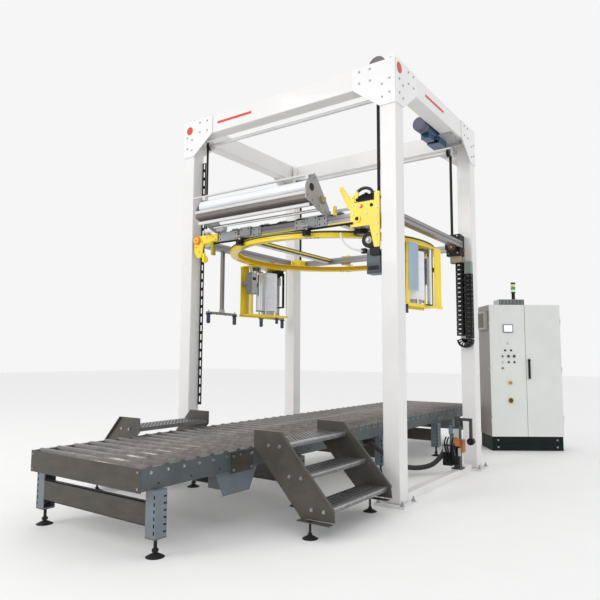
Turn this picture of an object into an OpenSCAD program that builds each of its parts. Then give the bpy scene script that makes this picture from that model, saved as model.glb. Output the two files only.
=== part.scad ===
/* [Portal frame] */
// Outside width of the portal across the conveyor
portal_w = 2860; // [2500:10:3500]
// Outside length of the portal along the conveyor
portal_l = 2280; // [2200:10:2800]
// Height of the portal to the top of its beams
portal_h = 4200; // [3900:10:5200]
// Side of the square posts
post_size = 170; // [120:5:200]
// Wall of the posts and of the top beams
post_wall = 8; // [4:1:12]
// Depth of the top beams
beam_h = 220; // [150:5:260]
// Length of the corner plates along a beam
plate_l = 470; // [300:10:600]
// Length of the corner plates down a post
plate_drop = 450; // [300:10:600]
// Thickness of the corner plates
plate_t = 12; // [6:1:20]
// Side of the square foot plates
foot_size = 300; // [250:5:400]
// Thickness of the foot plates
foot_t = 20; // [10:1:30]
// Diameter of the anchor holes
foot_hole_d = 22; // [14:1:30]
// Distance of the anchor holes from the post's centre
foot_hole_offset = 118; // [110:1:120]
// Diameter of the eye in each lifting lug
lug_eye_d = 40; // [25:1:60]

/* [Conveyor] */
// Width over the side rails
conveyor_w = 1300; // [1000:10:1600]
// Height to the top of the rollers
conveyor_h = 600; // [500:10:720]
// Distance from the ring's axis to the infeed end
infeed_l = 3400; // [3200:50:4500]
// Distance from the ring's axis to the outfeed end
outfeed_l = 3200; // [2600:50:4500]
// Diameter of the rollers
roller_d = 89; // [60:1:110]
// Distance between roller axes
roller_pitch = 150; // [125:5:200]
// Depth of the side rails
rail_h = 150; // [120:5:200]

/* [Steps] */
// Clear width of the treads
tread_w = 920; // [700:10:1100]
// Depth of a tread
tread_d = 240; // [200:5:300]
// Distance from the ring's axis to the near side of the steps
steps_y = 1375; // [1300:5:1500]
// How far the steps reach out from the conveyor
steps_reach = 770; // [600:10:900]

/* [Ring and lift] */
// Outside radius of the wrapping ring
ring_r = 1240; // [1100:5:1500]
// Radial width of the ring
ring_w = 90; // [60:5:120]
// Height of the ring's section
ring_h = 64; // [40:1:80]
// Height of the ring's lower face at rest
ring_z = 2550; // [2400:1:2700]
// Radius of the lift belt pulleys
pulley_r = 50; // [40:1:80]
// Width of the lift belts
belt_w = 34; // [20:1:50]

/* [Film units] */
// Diameter of a full film roll
film_d = 250; // [150:5:250]
// Height of a film roll
film_h = 520; // [400:10:560]
// Bore of the film rolls' cores
core_d = 76; // [50:1:90]
// Angle of the first film unit around the ring
unit_angle = 172; // [150:1:180]

/* [Top sheet unit] */
// Length of the sheet roll
sheet_l = 1440; // [1000:10:1500]
// Diameter of the sheet roll
sheet_d = 145; // [120:5:240]

/* [Cabinet] */
// Width of the control cabinet
cab_w = 1030; // [1000:10:1400]
// Depth of the control cabinet
cab_d = 500; // [400:10:600]
// Height of the cabinet above its plinth
cab_h = 1900; // [1800:10:2200]
// Height of the plinth
plinth_h = 200; // [100:10:250]
// Angle that the cabinet is turned away from the conveyor
cab_turn = 35; // [0:1:60]
// Distance of the cabinet's corner from the conveyor's centre line
cab_x = 1140; // [1000:5:1600]
// Distance of the cabinet's corner behind the ring's axis
cab_y = 2520; // [2400:5:3000]

/* [Fits] */
// Gap between pieces that move past each other
gap = 0.5; // [0.3:0.1:2]
// Radial clearance of a shaft in its bearing
run_gap = 0.05; // [0.02:0.01:0.1]

/* [Hidden] */

// Portal
half_w = portal_w / 2;
half_l = portal_l / 2;
inner_x = half_w - post_size;
inner_y = half_l - post_size;
post_x = half_w - post_size / 2;
post_y = half_l - post_size / 2;
bolt_af = 24;
bolt_h = 10;
lug_t = 15;
lug_w = 90;
tie_w = 80;
tie_h = 70;
shaft_d = 40;
belt_t = 4;
belt_x = inner_x - 90;
belt_y = inner_y + 30;
shaft_y = belt_y - belt_t - pulley_r;
shaft_z = portal_h - beam_h - 60;
hanger_t = 16;
hanger_x = inner_x - 30 - hanger_t;

// Conveyor
rail_t = 6;
rail_flange = 46;
rail_top = conveyor_h - 10;
rail_z = rail_top - rail_h;
roller_z = conveyor_h - roller_d / 2;
rail_inner = conveyor_w / 2 - rail_t;
roller_l = conveyor_w - 24;
axle_d = 25;
joint_in = 2560;
joint_out = 1790;
section_gap = 4;
roller_first = infeed_l - roller_pitch / 2;
roller_n = floor((infeed_l + outfeed_l) / roller_pitch);
function roller_y(i) = -roller_first + i * roller_pitch;
infeed_driven = 2;
main_driven = 22;
leg_w = 100;
leg_l = 100;
leg_t = 5;
leg_z = 130;
leg_x = conveyor_w / 2;
leg_y = [-infeed_l + 135, -1635, 0, 1635, outfeed_l - 135];
disc_d = 130;
disc_h = 28;
stem_d = 18;
cover_t = 4;

// Steps
tread_n = 3;
tread_t = 36;
stringer_t = 6;
step_top = conveyor_h + 50;
step_rise = step_top / tread_n;
step_out = conveyor_w / 2 + steps_reach;
step_run = (steps_reach - tread_d - 120) / (tread_n - 1);
steps_far = steps_y + tread_w;
step_foot_z = 120;
step_foot_x = step_out - 150;

// Ring, lift frame and film units
ring_top = ring_z + ring_h;
ring_wall = 6;
unit_r = ring_r - 40;
sweep_r = unit_r + film_d / 2 + 12;
lift_z = ring_top + 52;
lift_h = 80;
cross_w = 70;
cross_y = half_l - 30 - cross_w;
cross_x = inner_x - 65;
side_x = inner_x - 5;
side_w = 90;
side_y = inner_y - 10;
link_l = 60;
rail_x = 700;
track_w = 70;
wheel_r = 47.5;
wheel_w = 30;
wheel_y = half_l - 55;
wheel_z = ring_top - 12;
groove_r = 44;
groove_depth = 6;
support_x = 450;
rim_w = 8;
rim_t = 10;
support_r = ring_r + rim_w + groove_r - groove_depth + gap;
support_y = sqrt(support_r * support_r - support_x * support_x);
drive_r = 75;
drive_c = (ring_r + rim_w + drive_r + gap) * sqrt(0.5);
mast_x = max(side_x + side_w, sweep_r + 22);
mast_w = 40;
mast_arm = 540;
masts_y = [-470, 585];
plate_z = ring_z - 19;
base_z = plate_z - 655;
base_t = 10;
roll_z = base_z + base_t + 50;
mandrel_d = core_d - 6;
film_c = [-10, -60];
stretch_c = [-45, 135];
idler_c = [40, 215];
dancer_c = [-20, -260];
stretch_d = 90;

// Top sheet unit
sheet_x = -105;
sheet_y = -(half_l + 260);
sheet_z = lift_z + 320;
cheek_t = 8;
trough_r = sheet_d / 2 + 12;
cheek_x = sheet_l / 2 + 20;

// Clamp, chain and hoses
clamp_x = inner_x + 85;
clamp_y = 560;
clamp_top = 600;
chain_w = 74;
chain_t = 72;
chain_r = 55;
chain_x = inner_x + 25;
chain_y = inner_y - 8 - chain_w;
chain_z = 1452;
chain_top = lift_z - 180;
chain_fixed_top = chain_top - 140;
bracket_y = inner_y - 90;

// Cabinet
cab_wall = 3;
door_t = 20;
door_gap = 2;
cab_top = plinth_h + cab_h;
panel_y = -door_gap - door_t;
hinge_z = [400, 1100, 1800];
hinge_d = 16;
hinge_l = 60;
pin_d = 8;
button_d = 30;
handle_x = 555;
handle_z = 1310;
handle_l = 285;
handle_out = 6;
switch_at = [278, 715];
estop_at = [272, 968];
start_at = [263, 1349];
stop_at = [346, 1349];

// A block between two corners, given as [low, high] along each axis
module slab(x, y, z) {
    translate([x[0], y[0], z[0]]) cube([x[1] - x[0], y[1] - y[0], z[1] - z[0]]);
}

// A round bar centred on the origin, along the named axis
module bar(axis, d, l) {
    turn = axis == "x" ? [0, 90, 0] : axis == "y" ? [-90, 0, 0] : [0, 0, 0];
    rotate(turn) cylinder(d = d, h = l, center = true, $fn = 48);
}

// A bar or tube between two heights
module post(x, y, d, z0, z1) {
    translate([x, y, z0]) cylinder(d = d, h = z1 - z0, $fn = 48);
}

// An outline in the XZ plane with its thickness from y0 to y1
module xz_plate(points, y0, y1) {
    translate([0, y1, 0]) rotate([90, 0, 0]) linear_extrude(y1 - y0) polygon(points);
}

// An outline in the YZ plane with its thickness from x0 to x1
module yz_plate(points, x0, x1) {
    translate([x0, 0, 0]) rotate([90, 0, 90]) linear_extrude(x1 - x0) polygon(points);
}

// The child and its mirror image across the conveyor's centre line
module both_sides() {
    children();
    mirror([1, 0, 0]) children();
}

// The child and its mirror image across the portal's middle
module both_ends() {
    children();
    mirror([0, 1, 0]) children();
}

module four_corners() {
    both_sides() both_ends() children();
}

module portal_posts() {
    color("whitesmoke") four_corners() difference() {
        slab([inner_x, half_w], [inner_y, half_l], [foot_t, portal_h]);
        slab([inner_x + post_wall, half_w - post_wall], [inner_y + post_wall, half_l - post_wall],
            [foot_t - 1, portal_h - post_wall]);
    }
}

module top_beams() {
    z = [portal_h - beam_h, portal_h];
    zi = [z[0] + post_wall, z[1] - post_wall];
    color("whitesmoke") {
        both_ends() difference() {
            slab([-inner_x, inner_x], [inner_y, half_l], z);
            slab([-inner_x - 1, inner_x + 1], [inner_y + post_wall, half_l - post_wall], zi);
        }
        both_sides() difference() {
            slab([inner_x, half_w], [-inner_y, inner_y], z);
            slab([inner_x + post_wall, half_w - post_wall], [-inner_y - 1, inner_y + 1], zi);
        }
    }
}

// Outline of a corner plate, running in and down from the corner
function corner_outline(edge) = [[edge, portal_h - 4], [edge - plate_l, portal_h - 4],
    [edge - plate_l, portal_h - beam_h], [edge - post_size, portal_h - plate_drop],
    [edge, portal_h - plate_drop]];

// A hanging bearing plate for a lift shaft, bolted under the beam
module shaft_hanger() {
    difference() {
        slab([hanger_x, hanger_x + hanger_t], [shaft_y - 60, inner_y], [shaft_z - 50, portal_h - 30]);
        translate([hanger_x + hanger_t / 2, shaft_y, shaft_z])
            bar("x", shaft_d + 2 * run_gap, hanger_t + 2);
    }
}

module lifting_lug() {
    difference() {
        union() {
            slab([post_x - lug_w / 2, post_x + lug_w / 2], [post_y - lug_t / 2, post_y + lug_t / 2],
                [portal_h, portal_h + 45]);
            translate([post_x, post_y, portal_h + 45]) bar("y", lug_w, lug_t);
        }
        translate([post_x, post_y, portal_h + 45]) bar("y", lug_eye_d, lug_t + 2);
    }
}

module corner_plates() {
    color("white") four_corners() {
        xz_plate(corner_outline(half_w), half_l, half_l + plate_t);
        yz_plate(corner_outline(half_l), half_w, half_w + plate_t);
        shaft_hanger();
        lifting_lug();
    }
    color("darkseagreen") chain_bracket();
}

// The bracket on the right rear post that holds the fixed end of the energy chain
module chain_bracket() {
    x0 = chain_x + 2 * chain_r - chain_t / 2;
    slab([x0, x0 + chain_t], [chain_y, inner_y], [chain_fixed_top, chain_fixed_top + 150]);
}

function beam_bolts() = [for (u = [post_size + 70 : 80 : plate_l - 30])
    for (v = [45, beam_h - 45]) [u, v]];
function post_bolts() = [for (v = [60 : 95 : plate_drop - 40])
    for (u = [40, post_size - 40]) [u, v]];

module frame_bolts() {
    color("silver") four_corners() for (b = concat(beam_bolts(), post_bolts())) {
        translate([half_w - b[0], half_l + plate_t, portal_h - b[1]])
            rotate([-90, 0, 0]) cylinder(d = bolt_af, h = bolt_h, $fn = 6);
        translate([half_w + plate_t, half_l - b[0], portal_h - b[1]])
            rotate([0, 90, 0]) cylinder(d = bolt_af, h = bolt_h, $fn = 6);
    }
}

module floor_frame() {
    color("whitesmoke") four_corners() difference() {
        translate([post_x - foot_size / 2, post_y - foot_size / 2, 0])
            cube([foot_size, foot_size, foot_t]);
        for (u = [-1, 1]) for (v = [-1, 1])
            translate([post_x + u * foot_hole_offset, post_y + v * foot_hole_offset, -1])
                cylinder(d = foot_hole_d, h = foot_t + 2, $fn = 32);
    }
    tie_y = post_y - foot_size / 2;
    color("whitesmoke") both_sides()
        slab([post_x - tie_w / 2, post_x + tie_w / 2], [-tie_y, tie_y], [0, tie_h]);
}

ladder_w = 55;
ladder_t = 8;
ladder_z = [760, portal_h - plate_drop - 50];
slot_pitch = 105;

module safety_ladder() {
    y = [-inner_y - 14 - ladder_t, -inner_y - 14];
    color("dimgray") difference() {
        slab([-inner_x, -inner_x + ladder_w], y, ladder_z);
        for (z = [ladder_z[0] + 30 : slot_pitch : ladder_z[1] - 75])
            slab([-inner_x + 16, -inner_x + ladder_w - 14], [y[0] - 1, y[1] + 1], [z, z + 68]);
    }
}

motor_x = inner_x - 100;
motor_z = portal_h - beam_h + 20;

module lift_gearmotor() {
    color("slategray") slab([motor_x - 90, half_w - 30], [420, 780],
        [portal_h - beam_h - 12, portal_h - beam_h]);
    color("royalblue") {
        slab([motor_x - 80, motor_x + 80], [440, 680], [motor_z - 110, motor_z + 90]);
        translate([motor_x, 290, motor_z]) bar("y", 160, 300);
        translate([motor_x, 85, motor_z]) bar("y", 168, 110);
        slab([motor_x - 50, motor_x + 50], [200, 360], [motor_z - 125, motor_z - 60]);
    }
}

reel_d = 190;

reel_x = inner_x - 115;

module top_reel() {
    color("gray") {
        translate([reel_x, -inner_y + 30, portal_h + 70]) bar("y", reel_d, 60);
        translate([reel_x, -inner_y + 100, portal_h + 70]) bar("y", 130, 80);
        slab([reel_x - 60, reel_x + 60], [-inner_y, -inner_y + 10], [portal_h - 60, portal_h + 70]);
    }
}

module lift_belts() {
    color("black") four_corners()
        slab([belt_x - belt_w / 2, belt_x + belt_w / 2],
            [belt_y - belt_t, belt_y], [lift_z + lift_h, shaft_z]);
}

// The chain hangs as a U: one strand from the lift, one from the post
module energy_chain() {
    strand = chain_t / 2;
    color("black") translate([chain_x + chain_r, chain_y + chain_w, chain_z + chain_r + strand])
        rotate([90, 0, 0]) linear_extrude(chain_w) {
            translate([-chain_r - strand, 0])
                square([chain_t, chain_top - chain_z - chain_r - strand]);
            translate([chain_r - strand, 0])
                square([chain_t, chain_fixed_top - chain_z - chain_r - strand]);
            difference() {
                circle(r = chain_r + strand, $fn = 48);
                circle(r = chain_r - strand, $fn = 48);
                translate([-chain_r - chain_t, 0]) square([2 * (chain_r + chain_t), chain_r * 2]);
            }
        }
}

// The side rail's section, with its foot flange turned inwards
module rail_piece(y0, y1) {
    slab([rail_inner, rail_inner + rail_t], [y0, y1], [rail_z, rail_top]);
    slab([rail_inner + rail_t - rail_flange, rail_inner + rail_t], [y0, y1], [rail_z, rail_z + rail_t]);
}

module conveyor_rails() {
    color("slategray") both_sides() {
        rail_piece(-infeed_l, -joint_in - section_gap / 2);
        rail_piece(-joint_in + section_gap / 2, joint_out - section_gap / 2);
        rail_piece(joint_out + section_gap / 2, outfeed_l);
    }
}

module leg(y) {
    difference() {
        slab([leg_x - leg_w / 2, leg_x + leg_w / 2], [y - leg_l / 2, y + leg_l / 2], [leg_z, rail_z]);
        slab([leg_x - leg_w / 2 - 1, leg_x + leg_w / 2 - leg_t],
            [y - leg_l / 2 + leg_t, y + leg_l / 2 - leg_t], [leg_z + leg_t, rail_z - leg_t]);
    }
}

module conveyor_supports() {
    color("darkslategray") for (y = leg_y) {
        both_sides() leg(y);
        slab([-leg_x + leg_w / 2, leg_x - leg_w / 2], [y - leg_l / 2, y - leg_l / 2 + leg_t], [200, 355]);
    }
}

// A levelling foot standing on the floor under a piece at height z
module foot(x, y, z) {
    post(x, y, stem_d, disc_h - 4, z);
    translate([x, y, 0]) cylinder(d1 = disc_d, d2 = stem_d + 22, h = disc_h, $fn = 40);
}

module levelling_feet() {
    color("black") both_sides() {
        for (y = leg_y) foot(leg_x, y, leg_z);
        foot(step_foot_x, -steps_y - stringer_t - 32, step_foot_z - 6);
        foot(step_foot_x, -steps_far - 2 * stringer_t - 32, step_foot_z - 6);
    }
}

module end_covers() {
    outline = [[-conveyor_w / 2, rail_z - 10], [conveyor_w / 2, rail_z - 10],
        [conveyor_w / 2, rail_top], [-conveyor_w / 2, rail_top]];
    color("dimgray") {
        xz_plate(outline, -infeed_l - cover_t, -infeed_l);
        xz_plate(outline, outfeed_l, outfeed_l + cover_t);
    }
}

module conveyor_drives() {
    drive_z = rail_z - 90;
    color("dimgray") for (y = [-2400, 200, 2500]) {
        slab([rail_inner - 250, rail_inner - 40], [y - 110, y + 110], [drive_z - 70, rail_z]);
        translate([rail_inner - 400, y, drive_z]) bar("x", 130, 300);
    }
    color("dimgray") slab(loom_box, [-240, -160], [rail_z - 100, rail_z]);
    color("gray") {
        slab([rail_inner + rail_t, rail_inner + rail_t + 6], [-2530, -2260], [rail_z - 20, rail_top - 15]);
        yz_plate([[-2660, rail_z], [-2150, rail_z], [-2250, rail_z - 190], [-2560, rail_z - 190]],
            rail_inner - 40, rail_inner - 34);
    }
}

module roller(i, play) {
    translate([0, roller_y(i), roller_z]) {
        bar("x", roller_d, roller_l);
        bar("x", axle_d, 2 * (rail_inner - play));
    }
}

module conveyor_rollers() {
    color("gray") for (i = [0 : roller_n - 1])
        if (i != infeed_driven && i != main_driven) roller(i, 0);
}

module infeed_roller() {
    color("gray") roller(infeed_driven, gap);
}

module main_roller() {
    color("gray") roller(main_driven, gap);
}

// Outline of a stringer, from the conveyor's side down to the foot
function stringer_outline() = [[conveyor_w / 2 + 50, step_top + 90], [conveyor_w / 2 + 330, step_top + 90],
    [step_out + 35, step_rise + 12], [step_out + 45, step_foot_z + 10], [step_out - 255, step_foot_z],
    [conveyor_w / 2 + 50, step_top - 40]];

module step_stringers() {
    color("dimgray") both_sides() for (y = [-steps_y - stringer_t, -steps_far - 2 * stringer_t]) {
        xz_plate(stringer_outline(), y, y + stringer_t);
        slab([step_out - 255, step_out + 30], [y - 60, y], [step_foot_z - 6, step_foot_z]);
    }
}

module tread(k) {
    top = step_top - k * step_rise;
    nose = k == tread_n - 1 ? step_out : conveyor_w / 2 + 360 + k * step_run;
    back = k == 0 ? conveyor_w / 2 + 60 : nose - tread_d;
    y = [-steps_far - stringer_t, -steps_y - stringer_t];
    difference() {
        slab([back, nose], y, [top - tread_t, top]);
        slab([back + 4, nose - 4], [y[0] - 1, y[1] + 1], [top - tread_t - 1, top - 4]);
    }
}

module step_treads() {
    color("gray") both_sides() for (k = [0 : tread_n - 1]) tread(k);
}

module clamp_column() {
    color("dimgray") {
        slab([clamp_x - 60, clamp_x + 60], [clamp_y - 60, clamp_y + 60], [tie_h, tie_h + 12]);
        slab([clamp_x - 35, clamp_x + 35], [clamp_y - 35, clamp_y + 35], [tie_h + 12, clamp_top - 60]);
        post(clamp_x, clamp_y, 60, clamp_top - 60, clamp_top - gap);
        post(clamp_x, clamp_y, 24, clamp_top - 60, clamp_top + 60);
    }
    color("peru") slab([clamp_x + 35, clamp_x + 80], [clamp_y - 40, clamp_y + 30], [260, 400]);
    color("slategray") slab([clamp_x - 85, clamp_x - 35], [clamp_y - 30, clamp_y + 30], [200, 460]);
}

module clamp_arm() {
    color("slategray") difference() {
        union() {
            post(clamp_x, clamp_y, 60, clamp_top, clamp_top + 60);
            slab([clamp_x, clamp_x + 170], [clamp_y - 16, clamp_y + 16], [clamp_top + 10, clamp_top + 40]);
            slab([clamp_x + 140, clamp_x + 170], [clamp_y - 16, clamp_y + 16],
                [clamp_top - 190, clamp_top + 20]);
            translate([clamp_x + 155, clamp_y, clamp_top - 215]) bar("y", 80, 60);
        }
        post(clamp_x, clamp_y, 24 + 2 * run_gap, clamp_top - 1, clamp_top + 70);
    }
}

function unit(v) = v / norm(v);
// A point on the smooth curve through the points p, at the fraction f of stretch i
function curve_at(p, i, f) =
    let (a = p[max(i - 1, 0)], b = p[i], c = p[i + 1], d = p[min(i + 2, len(p) - 1)])
    0.5 * ((2 * b) + (c - a) * f + (2 * a - 5 * b + 4 * c - d) * f * f
        + (3 * b - a - 3 * c + d) * f * f * f);
function smooth_path(p, n) = concat([for (i = [0 : len(p) - 2]) for (k = [0 : n - 1])
    curve_at(p, i, k / n)], [p[len(p) - 1]]);

// A round tube swept along a path, with rings that stand square to it
module hose(path, d, side, sides = 10) {
    last = len(path) - 1;
    rings = [for (i = [0 : last])
        let (t = unit(path[min(i + 1, last)] - path[max(i - 1, 0)]),
            u = unit(cross(t, side)), v = cross(t, u))
        [for (k = [0 : sides - 1])
            path[i] + d / 2 * (u * cos(k * 360 / sides) + v * sin(k * 360 / sides))]];
    walls = [for (i = [0 : last - 1]) for (k = [0 : sides - 1])
        [i * sides + k, i * sides + (k + 1) % sides,
            (i + 1) * sides + (k + 1) % sides, (i + 1) * sides + k]];
    polyhedron([for (r = rings) for (q = r) q],
        concat(walls, [[for (k = [sides - 1 : -1 : 0]) k]],
            [[for (k = [0 : sides - 1]) last * sides + k]]), convexity = 8);
}

loom_d = 56;
loom_box = [rail_inner - 180, rail_inner - 100];
loom_points = [[loom_box[1], -200, rail_z - 50], [loom_box[1] + 60, -200, rail_z - 52],
    [rail_inner + 70, -150, rail_z - 130], [rail_inner + 190, 20, 150], [clamp_x - 400, 230, 84],
    [clamp_x - 270, 410, 100], [clamp_x - 190, 520, 190], [clamp_x - 140, clamp_y, 290],
    [clamp_x - 85, clamp_y, 300]];

module hose_loom() {
    color("black") hose(smooth_path(loom_points, 6), loom_d, [0, 0, 1]);
}

hose_d = 32;
hose_points = [[inner_x - 310, -half_l + 60, lift_z + 170], [inner_x - 310, -half_l + 60, lift_z + 220],
    [inner_x - 285, -half_l + 62, lift_z + 290], [inner_x - 210, -half_l + 64, lift_z + 320],
    [inner_x - 135, -half_l + 62, lift_z + 290], [inner_x - 110, -half_l + 60, lift_z + 220],
    [inner_x - 110, -half_l + 60, lift_z + 170]];

module lift_hoses() {
    color("black") hose(smooth_path(hose_points, 5), hose_d, [0, 1, 0]);
}

// Places its children in the cabinet's own frame, at its left front corner
module in_cabinet() {
    translate([cab_x, cab_y, 0]) rotate([0, 0, cab_turn]) children();
}

// The cabinet's half of a door hinge: a lug bent around the cabinet's edge, with a pin
module hinge_lug() {
    for (z = hinge_z) {
        slab([-9, -3], [panel_y, 20], [z + hinge_l + gap, z + hinge_l + 30]);
        slab([-9, 0], [5, 20], [z + hinge_l + gap, z + hinge_l + 30]);
        post(0, panel_y, hinge_d, z + hinge_l + gap, z + hinge_l + 30);
        post(0, panel_y, pin_d, z, z + hinge_l + 30);
    }
}

// The door's half of a hinge: a knuckle on its edge, with a recess around the cabinet's half
module door_leaf(x, hinge_at) {
    difference() {
        union() {
            slab(x, [panel_y, -door_gap], [plinth_h + 2, cab_top - 2]);
            for (z = hinge_z) post(hinge_at, panel_y, hinge_d, z, z + hinge_l);
        }
        for (z = hinge_z) {
            post(hinge_at, panel_y, hinge_d + 4, z + hinge_l, z + hinge_l + 32);
            post(hinge_at, panel_y, pin_d + 2 * run_gap, z - 1, z + hinge_l + 1);
        }
    }
}

module cabinet_shell() {
    inner = [cab_wall, cab_w - cab_wall];
    color("gainsboro") in_cabinet() {
        difference() {
            slab([0, cab_w], [0, cab_d], [plinth_h, cab_top]);
            slab(inner, [-1, cab_d - cab_wall], [plinth_h + cab_wall, cab_top - cab_wall]);
        }
        slab([60, cab_w - 60], [cab_d - 45, cab_d - cab_wall], [plinth_h + 80, cab_top - 80]);
        hinge_lug();
        translate([cab_w, 0, 0]) mirror([1, 0, 0]) hinge_lug();
    }
}

module cabinet_plinth() {
    color("darkslategray") in_cabinet() difference() {
        slab([5, cab_w - 5], [5, cab_d - 5], [0, plinth_h]);
        slab([10, cab_w - 10], [10, cab_d - 10], [-1, plinth_h + 1]);
    }
}

beacon_d = 70;
beacon_x = 435;
beacon_y = 180;
roof_box_h = 90;

module beacon_tower() {
    color("black") in_cabinet() {
        post(beacon_x, beacon_y, beacon_d, cab_top + roof_box_h, cab_top + roof_box_h + 270);
    }
}

module cabinet_units() {
    color("gray") in_cabinet() {
        slab([185, 555], [80, 330], [cab_top, cab_top + roof_box_h]);
        slab([-55, 0], [60, cab_d - 60], [1745, 2010]);
    }
}

module door_left() {
    color("gainsboro") in_cabinet() door_leaf([1, cab_w / 2 - 1], 0);
}

module door_right() {
    color("gainsboro") in_cabinet() {
        door_leaf([cab_w / 2 + 1, cab_w - 1], cab_w);
        slab([handle_x - 20, handle_x + 20], [panel_y - handle_out, panel_y],
            [handle_z - handle_l - 15, handle_z + 15]);
    }
}

// A round piece standing out of the cabinet's front, at [across, height]
module on_panel(at, d, out0, out1) {
    translate([at[0], panel_y - (out0 + out1) / 2, at[1]]) bar("y", d, out1 - out0);
}

module control_panel() {
    color("lightsteelblue") in_cabinet() {
        slab([193, 339], [panel_y - 12, panel_y], [1690, 1812]);
        for (at = [[263, 1541], [216, 1434], [302, 1434], [178, 1349], [180, 1263], [265, 1263],
            [348, 1263], [176, 1176]]) on_panel(at, button_d, 0, 14);
        for (at = [start_at, stop_at, estop_at]) on_panel(at, 40, 0, 8);
        on_panel(switch_at, 80, 0, 6);
    }
}

module start_button() {
    color("green") in_cabinet() on_panel(start_at, button_d - 6, 8 + 6, 8 + 20);
}

module stop_button() {
    color("red") in_cabinet() on_panel(stop_at, button_d - 6, 8 + 6, 8 + 20);
}

module estop_button() {
    color("orange") in_cabinet() on_panel(estop_at, 44, 8 + 8, 8 + 36);
}

module main_switch() {
    color("darkgoldenrod") in_cabinet() {
        on_panel(switch_at, 60, 6 + gap, 22);
        slab([switch_at[0] - 10, switch_at[0] + 10], [panel_y - 40, panel_y - 22],
            [switch_at[1] - 34, switch_at[1] + 34]);
    }
}

module door_handle() {
    color("dimgray") in_cabinet() {
        slab([handle_x - 13, handle_x + 13], [panel_y - handle_out - gap - 22, panel_y - handle_out - gap],
            [handle_z - handle_l, handle_z]);
        on_panel([handle_x, handle_z - 20], 34, handle_out + gap, handle_out + gap + 26);
    }
}

module lift_shaft() {
    end_x = hanger_x + hanger_t + 14;
    translate([0, shaft_y, shaft_z]) bar("x", shaft_d, 2 * end_x);
    both_sides() translate([belt_x, shaft_y, shaft_z]) bar("x", 2 * (pulley_r - gap), belt_w + 8);
}

module front_lift_shaft() {
    color("silver") mirror([0, 1, 0]) lift_shaft();
}

module rear_lift_shaft() {
    color("silver") lift_shaft();
}

module lift_beams() {
    z = [lift_z, lift_z + lift_h];
    color("silver") {
        both_ends() slab([-cross_x, cross_x], [cross_y, cross_y + cross_w], z);
        both_sides() slab([side_x, side_x + side_w], [-side_y, side_y - 80], z);
    }
}

// The block that joins a cross beam to a side beam and takes the lift belt
module corner_block() {
    z = [lift_z, lift_z + lift_h];
    slab([cross_x - 85, cross_x], [side_y, cross_y], z);
    slab([cross_x - 85, side_x], [side_y - link_l, side_y], z);
}

// An arm from a cross beam out to the grooved rollers that carry the ring
module ring_arm(x) {
    y = cross_y + cross_w;
    slab([x - 75, x + 75], [y, y + 10], [lift_z - 20, lift_z + 110]);
    slab([x - 45, x + 45], [y, support_y + 40], [lift_z - 20, lift_z - 8]);
    post(x, support_y, 20, ring_z + 2, lift_z - 20);
}

module lift_brackets() {
    front = -(cross_y + cross_w);
    left = -cross_x - 35;
    right = cross_x + 45;
    color("gold") {
        both_sides() both_ends() corner_block();
        xz_plate([[left, lift_z + 85], [left + 370, lift_z + 85], [left + 370, lift_z - 5],
            [left + 150, lift_z - 10], [left + 110, wheel_z - 110], [left + 50, wheel_z - 110],
            [left, wheel_z - 40]], front - 18, front);
        xz_plate([[right - 320, lift_z + 250], [right - 275, lift_z + 250], [right - 275, lift_z + 170],
            [right - 55, lift_z + 170], [right - 55, lift_z + 250], [right, lift_z + 250],
            [right, lift_z - 290], [right - 60, lift_z - 290], [right - 110, lift_z - 70],
            [right - 320, lift_z - 70]], front - 18, front);
        slab([right - 320, right - 50], [front, front + cross_w - 10], [lift_z + lift_h, lift_z + 170]);
        for (s = [-1, 1]) translate([s * (inner_x - wheel_r - gap), 0, wheel_z])
            translate([0, -(wheel_y - wheel_w / 2 - gap) + 8, 0]) bar("y", 24, 16 + 2 * gap);
        for (s = [-1, 1]) slab([s * (inner_x - wheel_r - gap) - 20, s * (inner_x - wheel_r - gap) + 20],
            [-(wheel_y - wheel_w / 2) + 16, -(wheel_y - wheel_w / 2) + 30], [wheel_z - 20, lift_z]);
        for (x = [-support_x, support_x]) both_ends() ring_arm(x);
    }
    color("black") slab([chain_x - 100, chain_x + chain_t / 2 + 14], [bracket_y, inner_y - 10],
        [chain_top, lift_z + 160]);
}

module guide_wheel(side) {
    x = side * (inner_x - wheel_r - gap);
    color("darkorange") translate([x, -wheel_y, wheel_z]) difference() {
        bar("y", 2 * wheel_r, wheel_w);
        bar("y", 24 + 2 * run_gap, wheel_w + 2);
    }
}

module guide_wheel_left() {
    guide_wheel(-1);
}

module guide_wheel_right() {
    guide_wheel(1);
}

module sheet_rails() {
    color("gold") both_sides()
        slab([rail_x - track_w / 2, rail_x + track_w / 2], [-cross_y, cross_y],
            [lift_z + 20, lift_z + lift_h]);
}

gripper_y = -cross_y + 70;

module sheet_gripper() {
    z = lift_z + lift_h + gap;
    color("darkslategray") {
        both_sides() slab([rail_x - 60, rail_x + 60], [gripper_y - 60, gripper_y + 60], [z, z + 40]);
        slab([-rail_x + 60, rail_x - 60], [gripper_y - 30, gripper_y + 30], [z, z + 50]);
        for (x = [-500 : 250 : 500])
            slab([x - 40, x + 40], [gripper_y - 90, gripper_y - 30], [z + 5, z + 40]);
    }
}

// Outline of the plate that holds each end of the sheet roll
function cheek_outline() = [[sheet_y + 20, sheet_z + 140], [sheet_y + 80, sheet_z + 140],
    [-cross_y - cross_w + 30, lift_z + 170], [-cross_y - cross_w + 30, lift_z + lift_h],
    [-cross_y - cross_w - 60, lift_z + lift_h], [sheet_y - 100, sheet_z - trough_r * 0.72 - 70],
    [sheet_y - 100, sheet_z - 40]];

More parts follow.
